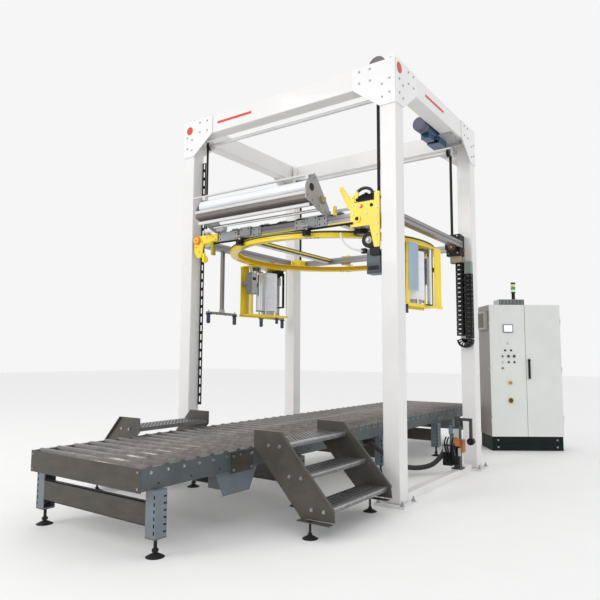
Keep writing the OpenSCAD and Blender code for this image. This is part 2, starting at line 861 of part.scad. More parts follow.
// Outline of the folded trough under the sheet roll
function trough_outline() = [[sheet_y - 100, sheet_z - trough_r * 0.72],
    [sheet_y - 90, sheet_z - trough_r * 0.72], [sheet_y + 30, sheet_z - trough_r * 1.2],
    [sheet_y + 150, sheet_z - trough_r * 1.2], [sheet_y + 150, sheet_z - trough_r * 1.2 - 40],
    [sheet_y + 20, sheet_z - trough_r * 1.2 - 50], [sheet_y - 100, sheet_z - trough_r * 0.72 - 70]];

module sheet_unit_frame() {
    x = [sheet_x - cheek_x, sheet_x + cheek_x];
    color("gainsboro") {
        for (e = [x[0] - cheek_t, x[1]]) yz_plate(cheek_outline(), e, e + cheek_t);
        translate([sheet_x, sheet_y, sheet_z]) bar("x", mandrel_d, x[1] - x[0]);
        slab([x[0] - 130, x[1] + 40], [sheet_y - 10, sheet_y + 20], [sheet_z + 125, sheet_z + 140]);
        yz_plate(trough_outline(), x[0], x[1]);
        for (e = [x[0] - cheek_t, x[1] - 52]) slab([e, e + 60],
            [-cross_y - cross_w + 30, -cross_y - 5], [lift_z + lift_h, lift_z + 150]);
    }
}

module sheet_roll() {
    color("white") translate([sheet_x, sheet_y, sheet_z]) difference() {
        bar("x", sheet_d, sheet_l);
        bar("x", core_d, sheet_l + 2);
    }
}

module ring_drive_unit() {
    x0 = inner_x - 180;
    reach = sweep_r + 34;
    y1 = -max(sqrt(max(reach * reach - x0 * x0, 0)), side_y);
    color("slategray") {
        post(drive_c, -drive_c, 30, ring_z + 4, lift_z - 20);
        post(drive_c, -drive_c, 150, lift_z - 20, lift_z + 100);
        slab([drive_c - 80, cross_x - 85], [-drive_c - 60, -drive_c + 60], [lift_z - 20, lift_z]);
        slab([cross_x - 85, cross_x - 10], [-drive_c - 30, -drive_c + 60], [lift_z - 20, lift_z]);
    }
    color("teal") slab([x0, x0 + 150], [y1 - 130, y1], [lift_z - 540, lift_z - 330]);
    color("gray") {
        slab([x0, x0 + 70], [y1 - 60, y1 - 40], [lift_z - 330, lift_z - 70]);
        slab([x0 - 60, x0], [y1 - 60, y1 - 30], [lift_z - 320, lift_z - 285]);
        slab([x0, x0 + 50], [-cross_y - cross_w - 18, y1 - 60], [lift_z - 90, lift_z - 70]);
    }
}

module ring_drive_wheel() {
    color("black") difference() {
        post(drive_c, -drive_c, 2 * drive_r, ring_z + 7, ring_top - 7);
        post(drive_c, -drive_c, 30 + 2 * run_gap, ring_z, ring_top);
    }
}

// A grooved roller that holds the ring's rim
module ring_roller(x) {
    half = ring_h / 2 - 5;
    color("dimgray") translate([x, -support_y, ring_z + ring_h / 2]) rotate_extrude($fn = 64)
        polygon([[10 + run_gap, -half], [groove_r, -half], [groove_r, -rim_t / 2 - gap],
            [groove_r - groove_depth, -rim_t / 2 - gap],
            [groove_r - groove_depth, rim_t / 2 + gap],
            [groove_r, rim_t / 2 + gap], [groove_r, half], [10 + run_gap, half]]);
}

module ring_roller_left() {
    ring_roller(-support_x);
}

module ring_roller_right() {
    ring_roller(support_x);
}

cell_d = 50;
cell_h = 110;

module sensor_masts() {
    x = [-mast_x - mast_w, -mast_x];
    arm_z = ring_z - 660;
    for (y = masts_y) {
        color("dimgray") {
            slab(x, [y - mast_w / 2, y + mast_w / 2], [arm_z, lift_z + lift_h]);
            slab(x, [y - mast_arm / 2, y + mast_arm / 2], [arm_z - 30, arm_z]);
            slab([-mast_x, -side_x - side_w], [y - mast_w / 2, y + mast_w / 2],
                [lift_z, lift_z + lift_h]);
        }
        color("steelblue") for (e = [-1, 1])
            post(-mast_x - mast_w / 2, y + e * (mast_arm / 2 - cell_d / 2), cell_d,
                arm_z - 30 - cell_h, arm_z - 30);
    }
}

module ring() {
    color("gold") difference() {
        translate([0, 0, ring_z]) rotate_extrude($fn = 180) polygon([[ring_r - ring_w, 0], [ring_r, 0],
            [ring_r, ring_h / 2 - rim_t / 2], [ring_r + rim_w, ring_h / 2 - rim_t / 2],
            [ring_r + rim_w, ring_h / 2 + rim_t / 2], [ring_r, ring_h / 2 + rim_t / 2],
            [ring_r, ring_h], [ring_r - ring_w, ring_h], [ring_r - ring_w, ring_h - ring_wall],
            [ring_r - ring_wall, ring_h - ring_wall], [ring_r - ring_wall, ring_wall],
            [ring_r - ring_w, ring_wall]]);
    }
}

// Places its children at a film unit: X outwards, Y around the ring
module at_unit(angle) {
    rotate([0, 0, angle]) translate([unit_r, 0, 0]) children();
}

module film_unit_frame() {
    color("gold") {
        slab([-110, 110], [-340, 340], [plate_z - base_t, plate_z]);
        for (y = [-260, 200]) slab([-35, 30], [y, y + 60], [plate_z, ring_z]);
        slab([-120, 120], [-340, 345], [base_z, base_z + base_t]);
        slab([100, 108], [200, 340], [base_z + base_t, plate_z - base_t]);
        post(60, -320, 16, base_z + base_t, plate_z - base_t);
    }
    color("silver") {
        post(film_c[0], film_c[1], 180, base_z + base_t, roll_z - 2);
        post(film_c[0], film_c[1], mandrel_d, roll_z - 2, roll_z + film_h + 20);
        post(idler_c[0], idler_c[1], 70, base_z + base_t, plate_z - base_t);
        post(stretch_c[0], stretch_c[1], 20, base_z + base_t, plate_z - base_t);
        post(dancer_c[0], dancer_c[1], 20, base_z + base_t, plate_z - base_t);
    }
    color("steelblue") post(60, -300, 40, base_z - 90, base_z);
}

module film_unit_frames() {
    for (a = [unit_angle, unit_angle + 180]) at_unit(a) film_unit_frame();
}

module film_unit_cover() {
    color("lightsteelblue") slab([110, 118], [-330, -150], [base_z + 150, plate_z]);
    color("slategray") {
        slab([-118, -18], [255, 345], [base_z + 270, base_z + 560]);
        slab([-18, 100], [280, 320], [base_z + 400, base_z + 450]);
    }
}

module film_unit_covers() {
    for (a = [unit_angle, unit_angle + 180]) at_unit(a) film_unit_cover();
}

module film_roll(angle) {
    color("white") at_unit(angle) difference() {
        post(film_c[0], film_c[1], film_d, roll_z, roll_z + film_h);
        post(film_c[0], film_c[1], core_d, roll_z - 1, roll_z + film_h + 1);
    }
}

module film_roll_a() {
    film_roll(unit_angle);
}

module film_roll_b() {
    film_roll(unit_angle + 180);
}

module stretch_roller(angle) {
    color("silver") at_unit(angle) difference() {
        post(stretch_c[0], stretch_c[1], stretch_d, roll_z - 10, roll_z + film_h + 10);
        post(stretch_c[0], stretch_c[1], 20 + 2 * run_gap, roll_z - 11, roll_z + film_h + 11);
    }
}

module stretch_roller_a() {
    stretch_roller(unit_angle);
}

module stretch_roller_b() {
    stretch_roller(unit_angle + 180);
}

module dancer_arm(angle) {
    z = roll_z + 60;
    color("black") at_unit(angle) translate([dancer_c[0], dancer_c[1], 0]) difference() {
        union() {
            for (e = [z, z + film_h - 60]) {
                post(0, 0, 40, e, e + 20);
                slab([-85, 0], [-10, 10], [e, e + 20]);
            }
            post(-85, 0, 34, z, z + film_h - 40);
        }
        post(0, 0, 20 + 2 * run_gap, z - 1, z + film_h - 30);
    }
}

module dancer_arm_a() {
    dancer_arm(unit_angle);
}

module dancer_arm_b() {
    dancer_arm(unit_angle + 180);
}

portal_posts();
top_beams();
corner_plates();
frame_bolts();
floor_frame();
safety_ladder();
lift_gearmotor();
top_reel();
lift_belts();
energy_chain();
conveyor_rails();
conveyor_supports();
levelling_feet();
end_covers();
conveyor_drives();
conveyor_rollers();
step_stringers();
step_treads();
clamp_column();
hose_loom();
cabinet_shell();
cabinet_plinth();
beacon_tower();
cabinet_units();
front_lift_shaft();
rear_lift_shaft();
infeed_roller();
main_roller();
clamp_arm();
door_left();
door_right();
control_panel();
door_handle();
main_switch();
estop_button();
start_button();
stop_button();
lift_beams();
lift_brackets();
guide_wheel_left();
guide_wheel_right();
sheet_rails();
sheet_gripper();
sheet_unit_frame();
sheet_roll();
ring_drive_unit();
ring_drive_wheel();
ring_roller_left();
ring_roller_right();
sensor_masts();
lift_hoses();
ring();
film_unit_frames();
film_unit_covers();
film_roll_a();
film_roll_b();
stretch_roller_a();
stretch_roller_b();
dancer_arm_a();
dancer_arm_b();
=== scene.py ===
"""Looks of a four-post rotary ring pallet wrapper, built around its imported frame."""

import math

import bmesh
import bpy
from bpy.props import FloatProperty, FloatVectorProperty, IntProperty, PointerProperty
from mathutils import Euler, Matrix, Vector


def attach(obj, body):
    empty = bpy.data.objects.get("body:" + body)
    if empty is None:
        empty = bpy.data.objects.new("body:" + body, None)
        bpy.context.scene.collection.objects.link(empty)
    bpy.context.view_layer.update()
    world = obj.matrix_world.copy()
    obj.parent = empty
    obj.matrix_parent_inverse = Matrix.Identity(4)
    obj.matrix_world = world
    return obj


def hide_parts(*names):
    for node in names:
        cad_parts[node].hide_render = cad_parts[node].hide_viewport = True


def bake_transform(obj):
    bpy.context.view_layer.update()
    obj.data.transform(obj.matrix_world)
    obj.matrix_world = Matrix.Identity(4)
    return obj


bl_info = {"name": "Ring pallet wrapper", "version": (1, 0, 0), "blender": (4, 5, 0),
           "location": "3D View > Sidebar > Wrapper",
           "description": "Builds the pieces and finishes of a ring pallet wrapper", "category": "Object",}

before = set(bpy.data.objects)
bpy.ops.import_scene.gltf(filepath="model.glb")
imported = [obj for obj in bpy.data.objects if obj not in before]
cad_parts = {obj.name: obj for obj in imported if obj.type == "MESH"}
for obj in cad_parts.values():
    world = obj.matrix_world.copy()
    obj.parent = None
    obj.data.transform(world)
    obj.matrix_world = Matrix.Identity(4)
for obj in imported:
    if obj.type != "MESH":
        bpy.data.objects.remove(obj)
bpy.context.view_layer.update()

# Main sizes of the machine, in metres
HALF_W, HALF_L, TOP = 1.43, 1.14, 4.2
IN_X, IN_Y = 1.26, 0.97
POST_X, POST_Y = 1.345, 1.055
RAIL_X = 0.65
ROLLER_Z = 0.5555
INFEED, OUTFEED = -3.4, 3.2
TIE_Z = (0.2, 0.355)
LEG_X, LEG_YS = 0.65, (-3.265, -1.635, 0.0, 1.635, 3.065)
STEP_NEAR, STEP_FAR = -1.381, -2.301
STRINGER_YS = (-2.307, -1.375)
STEP_TOPS, STEP_NOSES, STEP_BACKS = (0.65, 0.43333, 0.21667), (1.01, 1.215, 1.42), (0.71, 0.975, 1.18)
RING_Z = 2.55
LIFT_Z, LIFT_TOP = 2.666, 2.746
CROSS_Y, CROSS_X = 1.04, 1.195
UNIT_R, PLATE_Z, BASE_Z, ROLL_Z = 1.2, 2.531, 1.876, 1.936
SHAFT_Y, SHAFT_Z = 0.946, 3.92
BRACKET_FACE = -1.128
CAMERA_AT, CAMERA_TURN, LENS = (3.725, -5.977, 1.33), (35.09, 95.6, 0.27), 34.6
MOTOR_X, MOTOR_Z = 1.16, 4.0
REEL_X, REEL_Z = 1.145, 4.27
DRIVE_XY, LOW_WHEEL_Z = 0.93586, 2.455
SHEET_X, SHEET_Y, SHEET_Z = -0.105, -1.4, 2.986
CLAMP_X, CLAMP_Y = 1.345, 0.56
CHAIN_X, CHAIN_Y, CHAIN_R = 1.285, 0.925, 0.055
UNIT_A = Matrix.Rotation(math.radians(172), 4, "Z") @ Matrix.Translation((UNIT_R, 0, 0))
UNIT_B = Matrix.Rotation(math.radians(352), 4, "Z") @ Matrix.Translation((UNIT_R, 0, 0))
CABINET = Matrix.Translation((1.14, 2.52, 0)) @ Matrix.Rotation(math.radians(35), 4, "Z")
CAB_W, CAB_TOP = 1.03, 2.1
FRONT = -0.022
CORNERS = ((-1, -1), (-1, 1), (1, -1), (1, 1))
UP, DOWN = (0.0, 0.0, 0.0), (math.pi, 0.0, 0.0)
FACE = {"+x": (0, math.pi / 2, 0), "-x": (0, -math.pi / 2, 0), "+y": (-math.pi / 2, 0, 0),
        "-y": (math.pi / 2, 0, 0), "+z": UP, "-z": DOWN}


def colour(label, text, default):
    return FloatVectorProperty(name=label, description=text, subtype="COLOR", size=3, min=0, max=1,
                               default=default)


def length(label, text, default, low=0.0005, high=1.0):
    return FloatProperty(name=label, description=text, subtype="DISTANCE", unit="LENGTH", default=default,
                         min=low, max=high)


class WrapperColours(bpy.types.PropertyGroup):
    """Colours of the machine's finishes"""
    portal: colour("Portal", "Enamel of the portal frame", (0.79, 0.78, 0.775))
    yellow: colour("Yellow", "Enamel of the ring, brackets and film units", (0.95, 0.70, 0.01))
    conveyor: colour("Conveyor", "Paint of the conveyor rails and legs", (0.075, 0.090, 0.094))
    rollers: colour("Rollers", "Zinc coat of the conveyor rollers", (0.20, 0.18, 0.175))
    steps: colour("Steps", "Paint of the step stringers", (0.078, 0.071, 0.062))
    treads: colour("Treads", "Galvanised treads", (0.20, 0.20, 0.205))
    cabinet: colour("Cabinet", "Powder coat of the cabinet doors", (0.74, 0.76, 0.73))
    # The sides' colour is partly their own powder coat and partly painted shade.
    cabinet_side: colour("Cabinet sides", "Powder coat of the cabinet's sides", (0.27, 0.245, 0.23))
    plinth: colour("Plinth", "Paint of the cabinet's plinth", (0.006, 0.010, 0.010))
    motor: colour("Gearmotor", "Paint of the lift gearmotor", (0.022, 0.075, 0.17))
    film: colour("Film", "Rolls of stretch film and sheet", (0.80, 0.82, 0.87))
    profile: colour("Profiles", "Anodised lift profiles", (0.27, 0.26, 0.27))
    steel: colour("Steel", "Bare and zinc plated steel", (0.42, 0.42, 0.43))
    dark: colour("Dark parts", "Black paint and plastics", (0.006, 0.006, 0.008))
    grey: colour("Grey parts", "Grey machine paint", (0.16, 0.17, 0.175))
    guide_wheel: colour("Guide wheels", "Polyurethane of the guide wheels", (0.80, 0.27, 0.04))
    teal: colour("Gearbox", "Paint of the ring gearbox", (0.035, 0.055, 0.080))
    cover: colour("Film unit covers", "Sheet covers of the film units", (0.42, 0.53, 0.62))


class WrapperSizes(bpy.types.PropertyGroup):
    """Sizes of the small pieces"""
    bolt_width: length("Bolt width", "Width of the portal's bolt heads across flats", 0.017)
    bolt_height: length("Bolt height", "Height of the portal's bolt heads", 0.006)
    axle_bolt_width: length("Axle bolt width", "Width of the bolts that hold the roller axles", 0.019)
    small_bolt_width: length("Small bolt width", "Width of the bolts on the lift and film units", 0.013)
    roller_diameter: length("Roller diameter", "Diameter of the conveyor rollers", 0.089)
    roller_length: length("Roller length", "Length of the rollers' tubes", 1.276, high=2.0)
    tread_hole: length("Tread hole", "Diameter of the holes in the treads", 0.017)
    leg_slot: length("Leg slot", "Width of the slots in the conveyor legs", 0.011)
    link_pitch: length("Chain pitch", "Length of one link of the energy chain", 0.056)
    fins: IntProperty(name="Motor fins", description="Cooling fins of the lift motor", default=22, min=6,
                      max=60)


def facing(s):
    """Turn towards +x or -x, after the sign of s"""
    return FACE["+x" if s > 0 else "-x"]


def sizes():
    return bpy.context.scene.wrapper_sizes


def colours():
    return bpy.context.scene.wrapper_colours


# ---- Finishes ------------------------------------------------------------

def node(tree, kind, at=(0, 0), **values):
    made = tree.nodes.new(kind)
    made.location = at
    for key, value in values.items():
        if key in made.inputs:
            made.inputs[key].default_value = value
        else:
            setattr(made, key, value)
    return made


def finish(name, tint, rough=0.45, metal=0.0, mottle=0.08, patch=2.5, grain=90.0, dent=0.04, along=(1, 1, 1),
           clear=0.0, spread=0.08, glow=0.0, shine=0.5):
    """A material whose tone, gloss and surface vary a little over the piece"""
    name = "look_" + name
    if name in bpy.data.materials:
        return bpy.data.materials[name]
    made = bpy.data.materials.new(name)
    made.use_nodes = True
    tree = made.node_tree
    tree.nodes.clear()
    link = tree.links.new
    out = node(tree, "ShaderNodeOutputMaterial", (900, 0))
    shader = node(tree, "ShaderNodeBsdfPrincipled", (600, 0), Metallic=metal)
    shader.inputs["Coat Weight"].default_value = clear
    shader.inputs["Specular IOR Level"].default_value = shine
    link(shader.outputs[0], out.inputs[0])
    place = node(tree, "ShaderNodeTexCoord", (-900, 0))
    stretch = node(tree, "ShaderNodeMapping", (-700, 0), Scale=along)
    link(place.outputs["Object"], stretch.inputs["Vector"])
    broad = node(tree, "ShaderNodeTexNoise", (-450, 200), Scale=patch, Detail=3.0, Roughness=0.6)
    fine = node(tree, "ShaderNodeTexNoise", (-450, -200), Scale=grain, Detail=2.0, Roughness=0.5)
    for noise in (broad, fine):
        link(stretch.outputs["Vector"], noise.inputs["Vector"])
    ramp = node(tree, "ShaderNodeValToRGB", (-200, 200))
    low = [max(0.0, c * (1 - mottle)) for c in tint]
    high = [min(1.0, c * (1 + mottle)) for c in tint]
    ramp.color_ramp.elements[0].position, ramp.color_ramp.elements[1].position = 0.3, 0.7
    ramp.color_ramp.elements[0].color, ramp.color_ramp.elements[1].color = (*low, 1), (*high, 1)
    link(broad.outputs["Fac"], ramp.inputs["Fac"])
    link(ramp.outputs["Color"], shader.inputs["Base Color"])
    gloss = node(tree, "ShaderNodeMapRange", (100, -50))
    gloss.inputs["To Min"].default_value = max(0.02, rough - spread)
    gloss.inputs["To Max"].default_value = min(1.0, rough + spread)
    link(fine.outputs["Fac"], gloss.inputs["Value"])
    link(gloss.outputs["Result"], shader.inputs["Roughness"])
    bump = node(tree, "ShaderNodeBump", (100, -350), Strength=dent, Distance=0.002)
    link(fine.outputs["Fac"], bump.inputs["Height"])
    link(bump.outputs["Normal"], shader.inputs["Normal"])
    if glow:
        shader.inputs["Emission Color"].default_value = (*tint, 1)
        shader.inputs["Emission Strength"].default_value = glow
    return made


def plain(*values, **ways):
    """A finish that several pieces share; a text as its tint names one of the colours"""
    def made():
        name, tint, *rest = values
        return finish(name, getattr(colours(), tint) if isinstance(tint, str) else tint, *rest, **ways)
    return made


enamel = plain("portal_enamel", "portal", 0.38, mottle=0.03, clear=0.25)
yellow = plain("yellow_enamel", "yellow", 0.36, mottle=0.07, clear=0.3)
conveyor_paint = plain("conveyor_paint", "conveyor", 0.42, mottle=0.22, patch=5)
steel = plain("zinc_steel", "steel", 0.33, 0.9, mottle=0.14, patch=9, along=(1, 1, 5))
polished = plain("polished_roller", (0.72, 0.73, 0.75), 0.16, 1.0, mottle=0.05, along=(1, 1, 0.2))
dark = plain("black_plastic", "dark", 0.42, mottle=0.25, shine=0.25)
rubber = plain("black_rubber", (0.016, 0.016, 0.017), 0.68, mottle=0.2, dent=0.15, shine=0.25)
# Near-black finish of painted shade for holes, slots and seams
void = plain("hole_shade", (0.006, 0.006, 0.006), 0.9, mottle=0.1, shine=0.1)
grey = plain("grey_paint", "grey", 0.42, mottle=0.12, patch=4)
light_grey = plain("light_grey_paint", (0.42, 0.43, 0.44), 0.4, mottle=0.08, patch=4)
profile = plain("anodised_profile", "profile", 0.34, 0.55, mottle=0.1, patch=5, along=(0.3, 0.3, 4))
white_plastic = plain("white_plastic", (0.78, 0.79, 0.8), 0.35, mottle=0.04)
orange = plain("orange_wheel", "guide_wheel", 0.42, mottle=0.1)
film = plain("stretch_film", "film", 0.22, mottle=0.06, patch=3, along=(1, 1, 12), clear=0.5)
card = plain("cardboard_core", (0.42, 0.31, 0.2), 0.75, mottle=0.12, along=(1, 1, 9))


# ---- Meshes --------------------------------------------------------------

class Shape:
    """Collects the closed solids of one piece"""

    def __init__(self, matrix=None):
        self.bm = bmesh.new()
        self.matrix = matrix or Matrix.Identity(4)

    def _close(self, verts, f):
        """Gives the faces of new points their finish"""
        for face in {face for v in verts for face in v.link_faces}:
            face.material_index = f

    def block(self, x, y, z, f=0):
        size = Matrix.Diagonal((abs(x[1] - x[0]), abs(y[1] - y[0]), abs(z[1] - z[0]), 1))
        middle = Matrix.Translation(((x[0] + x[1]) / 2, (y[0] + y[1]) / 2, (z[0] + z[1]) / 2))
        made = bmesh.ops.create_cube(self.bm, size=1, matrix=self.matrix @ middle @ size)
        self._close(made["verts"], f)

    def blocks(self, *rows):
        """Blocks from rows of x, x, y, y, z, z and the finish's index"""
        for x0, x1, y0, y1, z0, z1, f in rows:
            self.block((x0, x1), (y0, y1), (z0, z1), f)

    def rod(self, a, b, d, sides=24, f=0, d2=None):
        a, b = Vector(a), Vector(b)
        way = b - a
        spin = way.to_track_quat("Z", "Y").to_matrix().to_4x4()
        made = bmesh.ops.create_cone(self.bm, cap_ends=True, segments=sides, radius1=d / 2,
                                     radius2=(d if d2 is None else d2) / 2, depth=way.length,
                                     matrix=self.matrix @ Matrix.Translation((a + b) / 2) @ spin)
        self._close(made["verts"], f)

    def rods(self, *rows):
        """Rods from rows of start, end, diameter, sides, the finish's index and the end's diameter"""
        for row in rows:
            self.rod(*row)

    def plate(self, outline, across, f=0):
        """A flat outline of points, given its thickness by the vector across"""
        across = Vector(across)
        low = [self.bm.verts.new(self.matrix @ Vector(p)) for p in outline]
        high = [self.bm.verts.new(self.matrix @ (Vector(p) + across)) for p in outline]
        n = len(outline)
        self.bm.faces.new(low)
        self.bm.faces.new(list(reversed(high)))
        for i in range(n):
            self.bm.faces.new((low[i], high[i], high[(i + 1) % n], low[(i + 1) % n]))
        self._close(low + high, f)

    def lathe(self, outline, at, way=(0, 0, 1), sides=48, f=0):
        """An outline of (radius, height) turned around an axis"""
        spin = Vector(way).to_track_quat("Z", "Y").to_matrix().to_4x4()
        base = self.matrix @ Matrix.Translation(at) @ spin
        rings = []
        for r, h in outline:
            if r <= 1e-6:
                rings.append([self.bm.verts.new(base @ Vector((0, 0, h)))])
            else:
                rings.append([self.bm.verts.new(base @ Vector((r * math.cos(t), r * math.sin(t), h)))
                              for t in (2 * math.pi * k / sides for k in range(sides))])
        pairs = list(zip(rings, rings[1:] + rings[:1]))
        for a, b in pairs:
            for k in range(sides):
                m = (k + 1) % sides
                corners = [a[k % len(a)], a[m % len(a)], b[m % len(b)], b[k % len(b)]]
                corners = [c for i, c in enumerate(corners) if c not in corners[:i]]
                if len(corners) > 2:
                    self.bm.faces.new(corners)
        self._close([v for r in rings for v in r], f)

    def washer(self, inner, outer, thick, at, way=(0, 0, 1), sides=48, f=0):
        self.lathe([(inner, 0), (outer, 0), (outer, thick), (inner, thick)], at, way, sides, f)

    def sweep(self, path, d, sides=12, f=0, swell=None):
        """A round tube along a path of points"""
        points = [Vector(p) for p in path]
        side = Vector((0.3, 0.9, 0.2))
        rings = []
        for i, p in enumerate(points):
            way = (points[min(i + 1, len(points) - 1)] - points[max(i - 1, 0)]).normalized()
            u = way.cross(side).normalized()
            w = way.cross(u)
            side = u.cross(way)
            r = d / 2 * (swell(i) if swell else 1)
            rings.append([self.bm.verts.new(self.matrix @ (p + r * (u * math.cos(t) + w * math.sin(t))))
                          for t in (2 * math.pi * k / sides for k in range(sides))])
        for a, b in zip(rings, rings[1:]):
            for k in range(sides):
                self.bm.faces.new((a[k], a[(k + 1) % sides], b[(k + 1) % sides], b[k]))
        self.bm.faces.new(list(reversed(rings[0])))
        self.bm.faces.new(rings[-1])
        self._close([v for r in rings for v in r], f)

    def mesh(self, name):
        bmesh.ops.recalc_face_normals(self.bm, faces=self.bm.faces)
        for face in self.bm.faces:
            face.smooth = True
        for edge in self.bm.edges:
            edge.smooth = len(edge.link_faces) == 2 and edge.calc_face_angle(3.2) < math.radians(34)
        made = bpy.data.meshes.new(name)
        self.bm.to_mesh(made)
        self.bm.free()
        return made

    def place(self, name, finishes, body, replaces=(), slot=None, edge=None):
        return place(name, self.mesh(name), finishes, body, replaces, slot, edge)


def place(name, mesh, finishes, body, replaces=(), slot=None, edge=None):
    """Makes a finished piece of a mesh and hangs it on its body"""
    made = bpy.data.objects.new(name, mesh)
    bpy.context.scene.collection.objects.link(made)
    for f in finishes:
        mesh.materials.append(f)
    if edge:
        bevel = made.modifiers.new("Edge", "BEVEL")
        bevel.width, bevel.segments, bevel.limit_method = edge, 2, "ANGLE"
        bevel.angle_limit, bevel.harden_normals = math.radians(40), True
    if body:
        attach(made, body)
    if replaces:
        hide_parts(*replaces)
    return made


def dress(name, finishes, choose=None):
    """Gives a carried-over node its finishes; choose returns a finish's index for a point"""
    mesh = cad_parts[name].data
    mesh.materials.clear()
    for f in finishes:
        mesh.materials.append(f)
    for face in mesh.polygons:
        face.material_index = choose(face.center) if choose else 0


# ---- Repeated pieces -----------------------------------------------------

def new_tree(name, inputs):
    tree = bpy.data.node_groups.new(name, "GeometryNodeTree")
    tree.interface.new_socket("Geometry", in_out="INPUT", socket_type="NodeSocketGeometry")
    for label, default in inputs:
        socket = tree.interface.new_socket(label, in_out="INPUT", socket_type="NodeSocketFloat")
        socket.default_value = default
        socket.subtype = "DISTANCE"
    tree.interface.new_socket("Finish", in_out="INPUT", socket_type="NodeSocketMaterial")
    tree.interface.new_socket("Geometry", in_out="OUTPUT", socket_type="NodeSocketGeometry")
    return tree


def sum_of(tree, a, b, way="MULTIPLY", value=0.5):
    made = node(tree, "ShaderNodeMath", operation=way)
    tree.links.new(a, made.inputs[0])
    if b is None:
        made.inputs[1].default_value = value
    else:
        tree.links.new(b, made.inputs[1])
    return made.outputs[0]


def cylinder(tree, width, depth, sides, lift=None, share=0.5):
    """A cylinder standing on the plane, lifted by a socket's value; its radius is a share of the width"""
    made = node(tree, "GeometryNodeMeshCylinder")
    made.inputs["Vertices"].default_value = sides
    tree.links.new(sum_of(tree, width, None, value=share), made.inputs["Radius"])
    tree.links.new(depth, made.inputs["Depth"])
    move = node(tree, "GeometryNodeTransform")
    height = node(tree, "ShaderNodeCombineXYZ")
    middle = sum_of(tree, depth, None)
    tree.links.new(sum_of(tree, middle, lift, "ADD") if lift else middle, height.inputs["Z"])
    tree.links.new(made.outputs["Mesh"], move.inputs["Geometry"])
    tree.links.new(height.outputs[0], move.inputs["Translation"])
    return move.outputs[0]


def join(tree, *parts):
    made = node(tree, "GeometryNodeJoinGeometry")
    for part in parts:
        tree.links.new(part, made.inputs[0])
    return made.outputs[0]


def scatter(tree, source, shape):
    """Puts the shape on every point, turned and scaled by the points' own attributes"""
    link = tree.links.new
    turn = node(tree, "GeometryNodeInputNamedAttribute", data_type="FLOAT_VECTOR", Name="turn")
    size = node(tree, "GeometryNodeInputNamedAttribute", data_type="FLOAT_VECTOR", Name="size")
    spin = node(tree, "FunctionNodeEulerToRotation")
    spots = node(tree, "GeometryNodeInstanceOnPoints")
    real = node(tree, "GeometryNodeRealizeInstances")
    paint = node(tree, "GeometryNodeSetMaterial")
    out = node(tree, "NodeGroupOutput")
    link(turn.outputs["Attribute"], spin.inputs[0])
    link(source.outputs["Geometry"], spots.inputs["Points"])
    link(shape, spots.inputs["Instance"])
    link(spin.outputs[0], spots.inputs["Rotation"])
    link(size.outputs["Attribute"], spots.inputs["Scale"])
    link(spots.outputs[0], real.inputs[0])
    link(real.outputs[0], paint.inputs["Geometry"])
    link(source.outputs["Finish"], paint.inputs["Material"])
    link(paint.outputs[0], out.inputs[0])
    return tree


def tree_of(name, **inputs):
    """Turns a function that fills a tree into one that makes it once and hands it out"""
    def wrap(fill):
        def made():
            if name in bpy.data.node_groups:
                return bpy.data.node_groups[name]
            labels = [key.replace("_", " ").capitalize() for key in inputs]
            tree = new_tree(name, zip(labels, inputs.values()))
            source = node(tree, "NodeGroupInput")
            return scatter(tree, source, fill(tree, *(source.outputs[i + 1] for i in range(len(inputs)))))
        return made
    return wrap


def solid(tree, kind, *values):
    """A node that makes a mesh, with its inputs given as pairs of name and value or socket"""
    made = node(tree, kind)
    for key, value in values:
        if isinstance(value, (int, float)):
            made.inputs[key].default_value = value
        else:
            tree.links.new(value, made.inputs[key])
    return made.outputs["Mesh"]


def vector(tree, **sockets):
    made = node(tree, "ShaderNodeCombineXYZ")
    for axis, socket in sockets.items():
        tree.links.new(socket, made.inputs[axis])
    return made.outputs[0]


@tree_of("hex_bolts", head_width=0.02, head_height=0.009)
def bolt_tree(tree, width, height):
    washer = sum_of(tree, height, None, value=0.22)
    head = cylinder(tree, width, height, 6, washer, 0.5773)
    return join(tree, head, cylinder(tree, width, washer, 14, None, 0.72))


@tree_of("round_discs", diameter=0.012, thickness=0.001)
def disc_tree(tree, width, thick):
    return cylinder(tree, width, thick, 14)


@tree_of("straight_ribs", unit=1.0)
def bar_tree(tree, unit):
    return solid(tree, "GeometryNodeMeshCube", ("Size", vector(tree, X=unit, Y=unit, Z=unit)))


@tree_of("oblong_slots", length=0.03, width=0.01, depth=0.001)
def slot_tree(tree, long, width, depth):
    straight = sum_of(tree, long, width, "SUBTRACT")
    size = vector(tree, X=width, Y=straight, Z=sum_of(tree, depth, None, value=2.0))
    ends = []
    for side in (0.5, -0.5):
        move = node(tree, "GeometryNodeTransform")
        tree.links.new(cylinder(tree, width, depth, 12), move.inputs["Geometry"])
        tree.links.new(vector(tree, Y=sum_of(tree, straight, None, value=side)), move.inputs["Translation"])
        ends.append(move.outputs[0])
    return join(tree, solid(tree, "GeometryNodeMeshCube", ("Size", size)), *ends)


@tree_of("conveyor_rollers", tube_diameter=0.089, tube_length=1.276, axle_diameter=0.025, axle_length=1.288)
def roller_tree(tree, *spans):
    parts = [solid(tree, "GeometryNodeMeshCylinder", ("Vertices", 40), ("Radius", sum_of(tree, wide, None)),
                   ("Depth", long)) for wide, long in (spans[:2], spans[2:])]
    soft = node(tree, "GeometryNodeSetShadeSmooth")
    soft.inputs["Shade Smooth"].default_value = False
    tree.links.new(join(tree, *parts), soft.inputs["Geometry"])
    return soft.outputs[0]


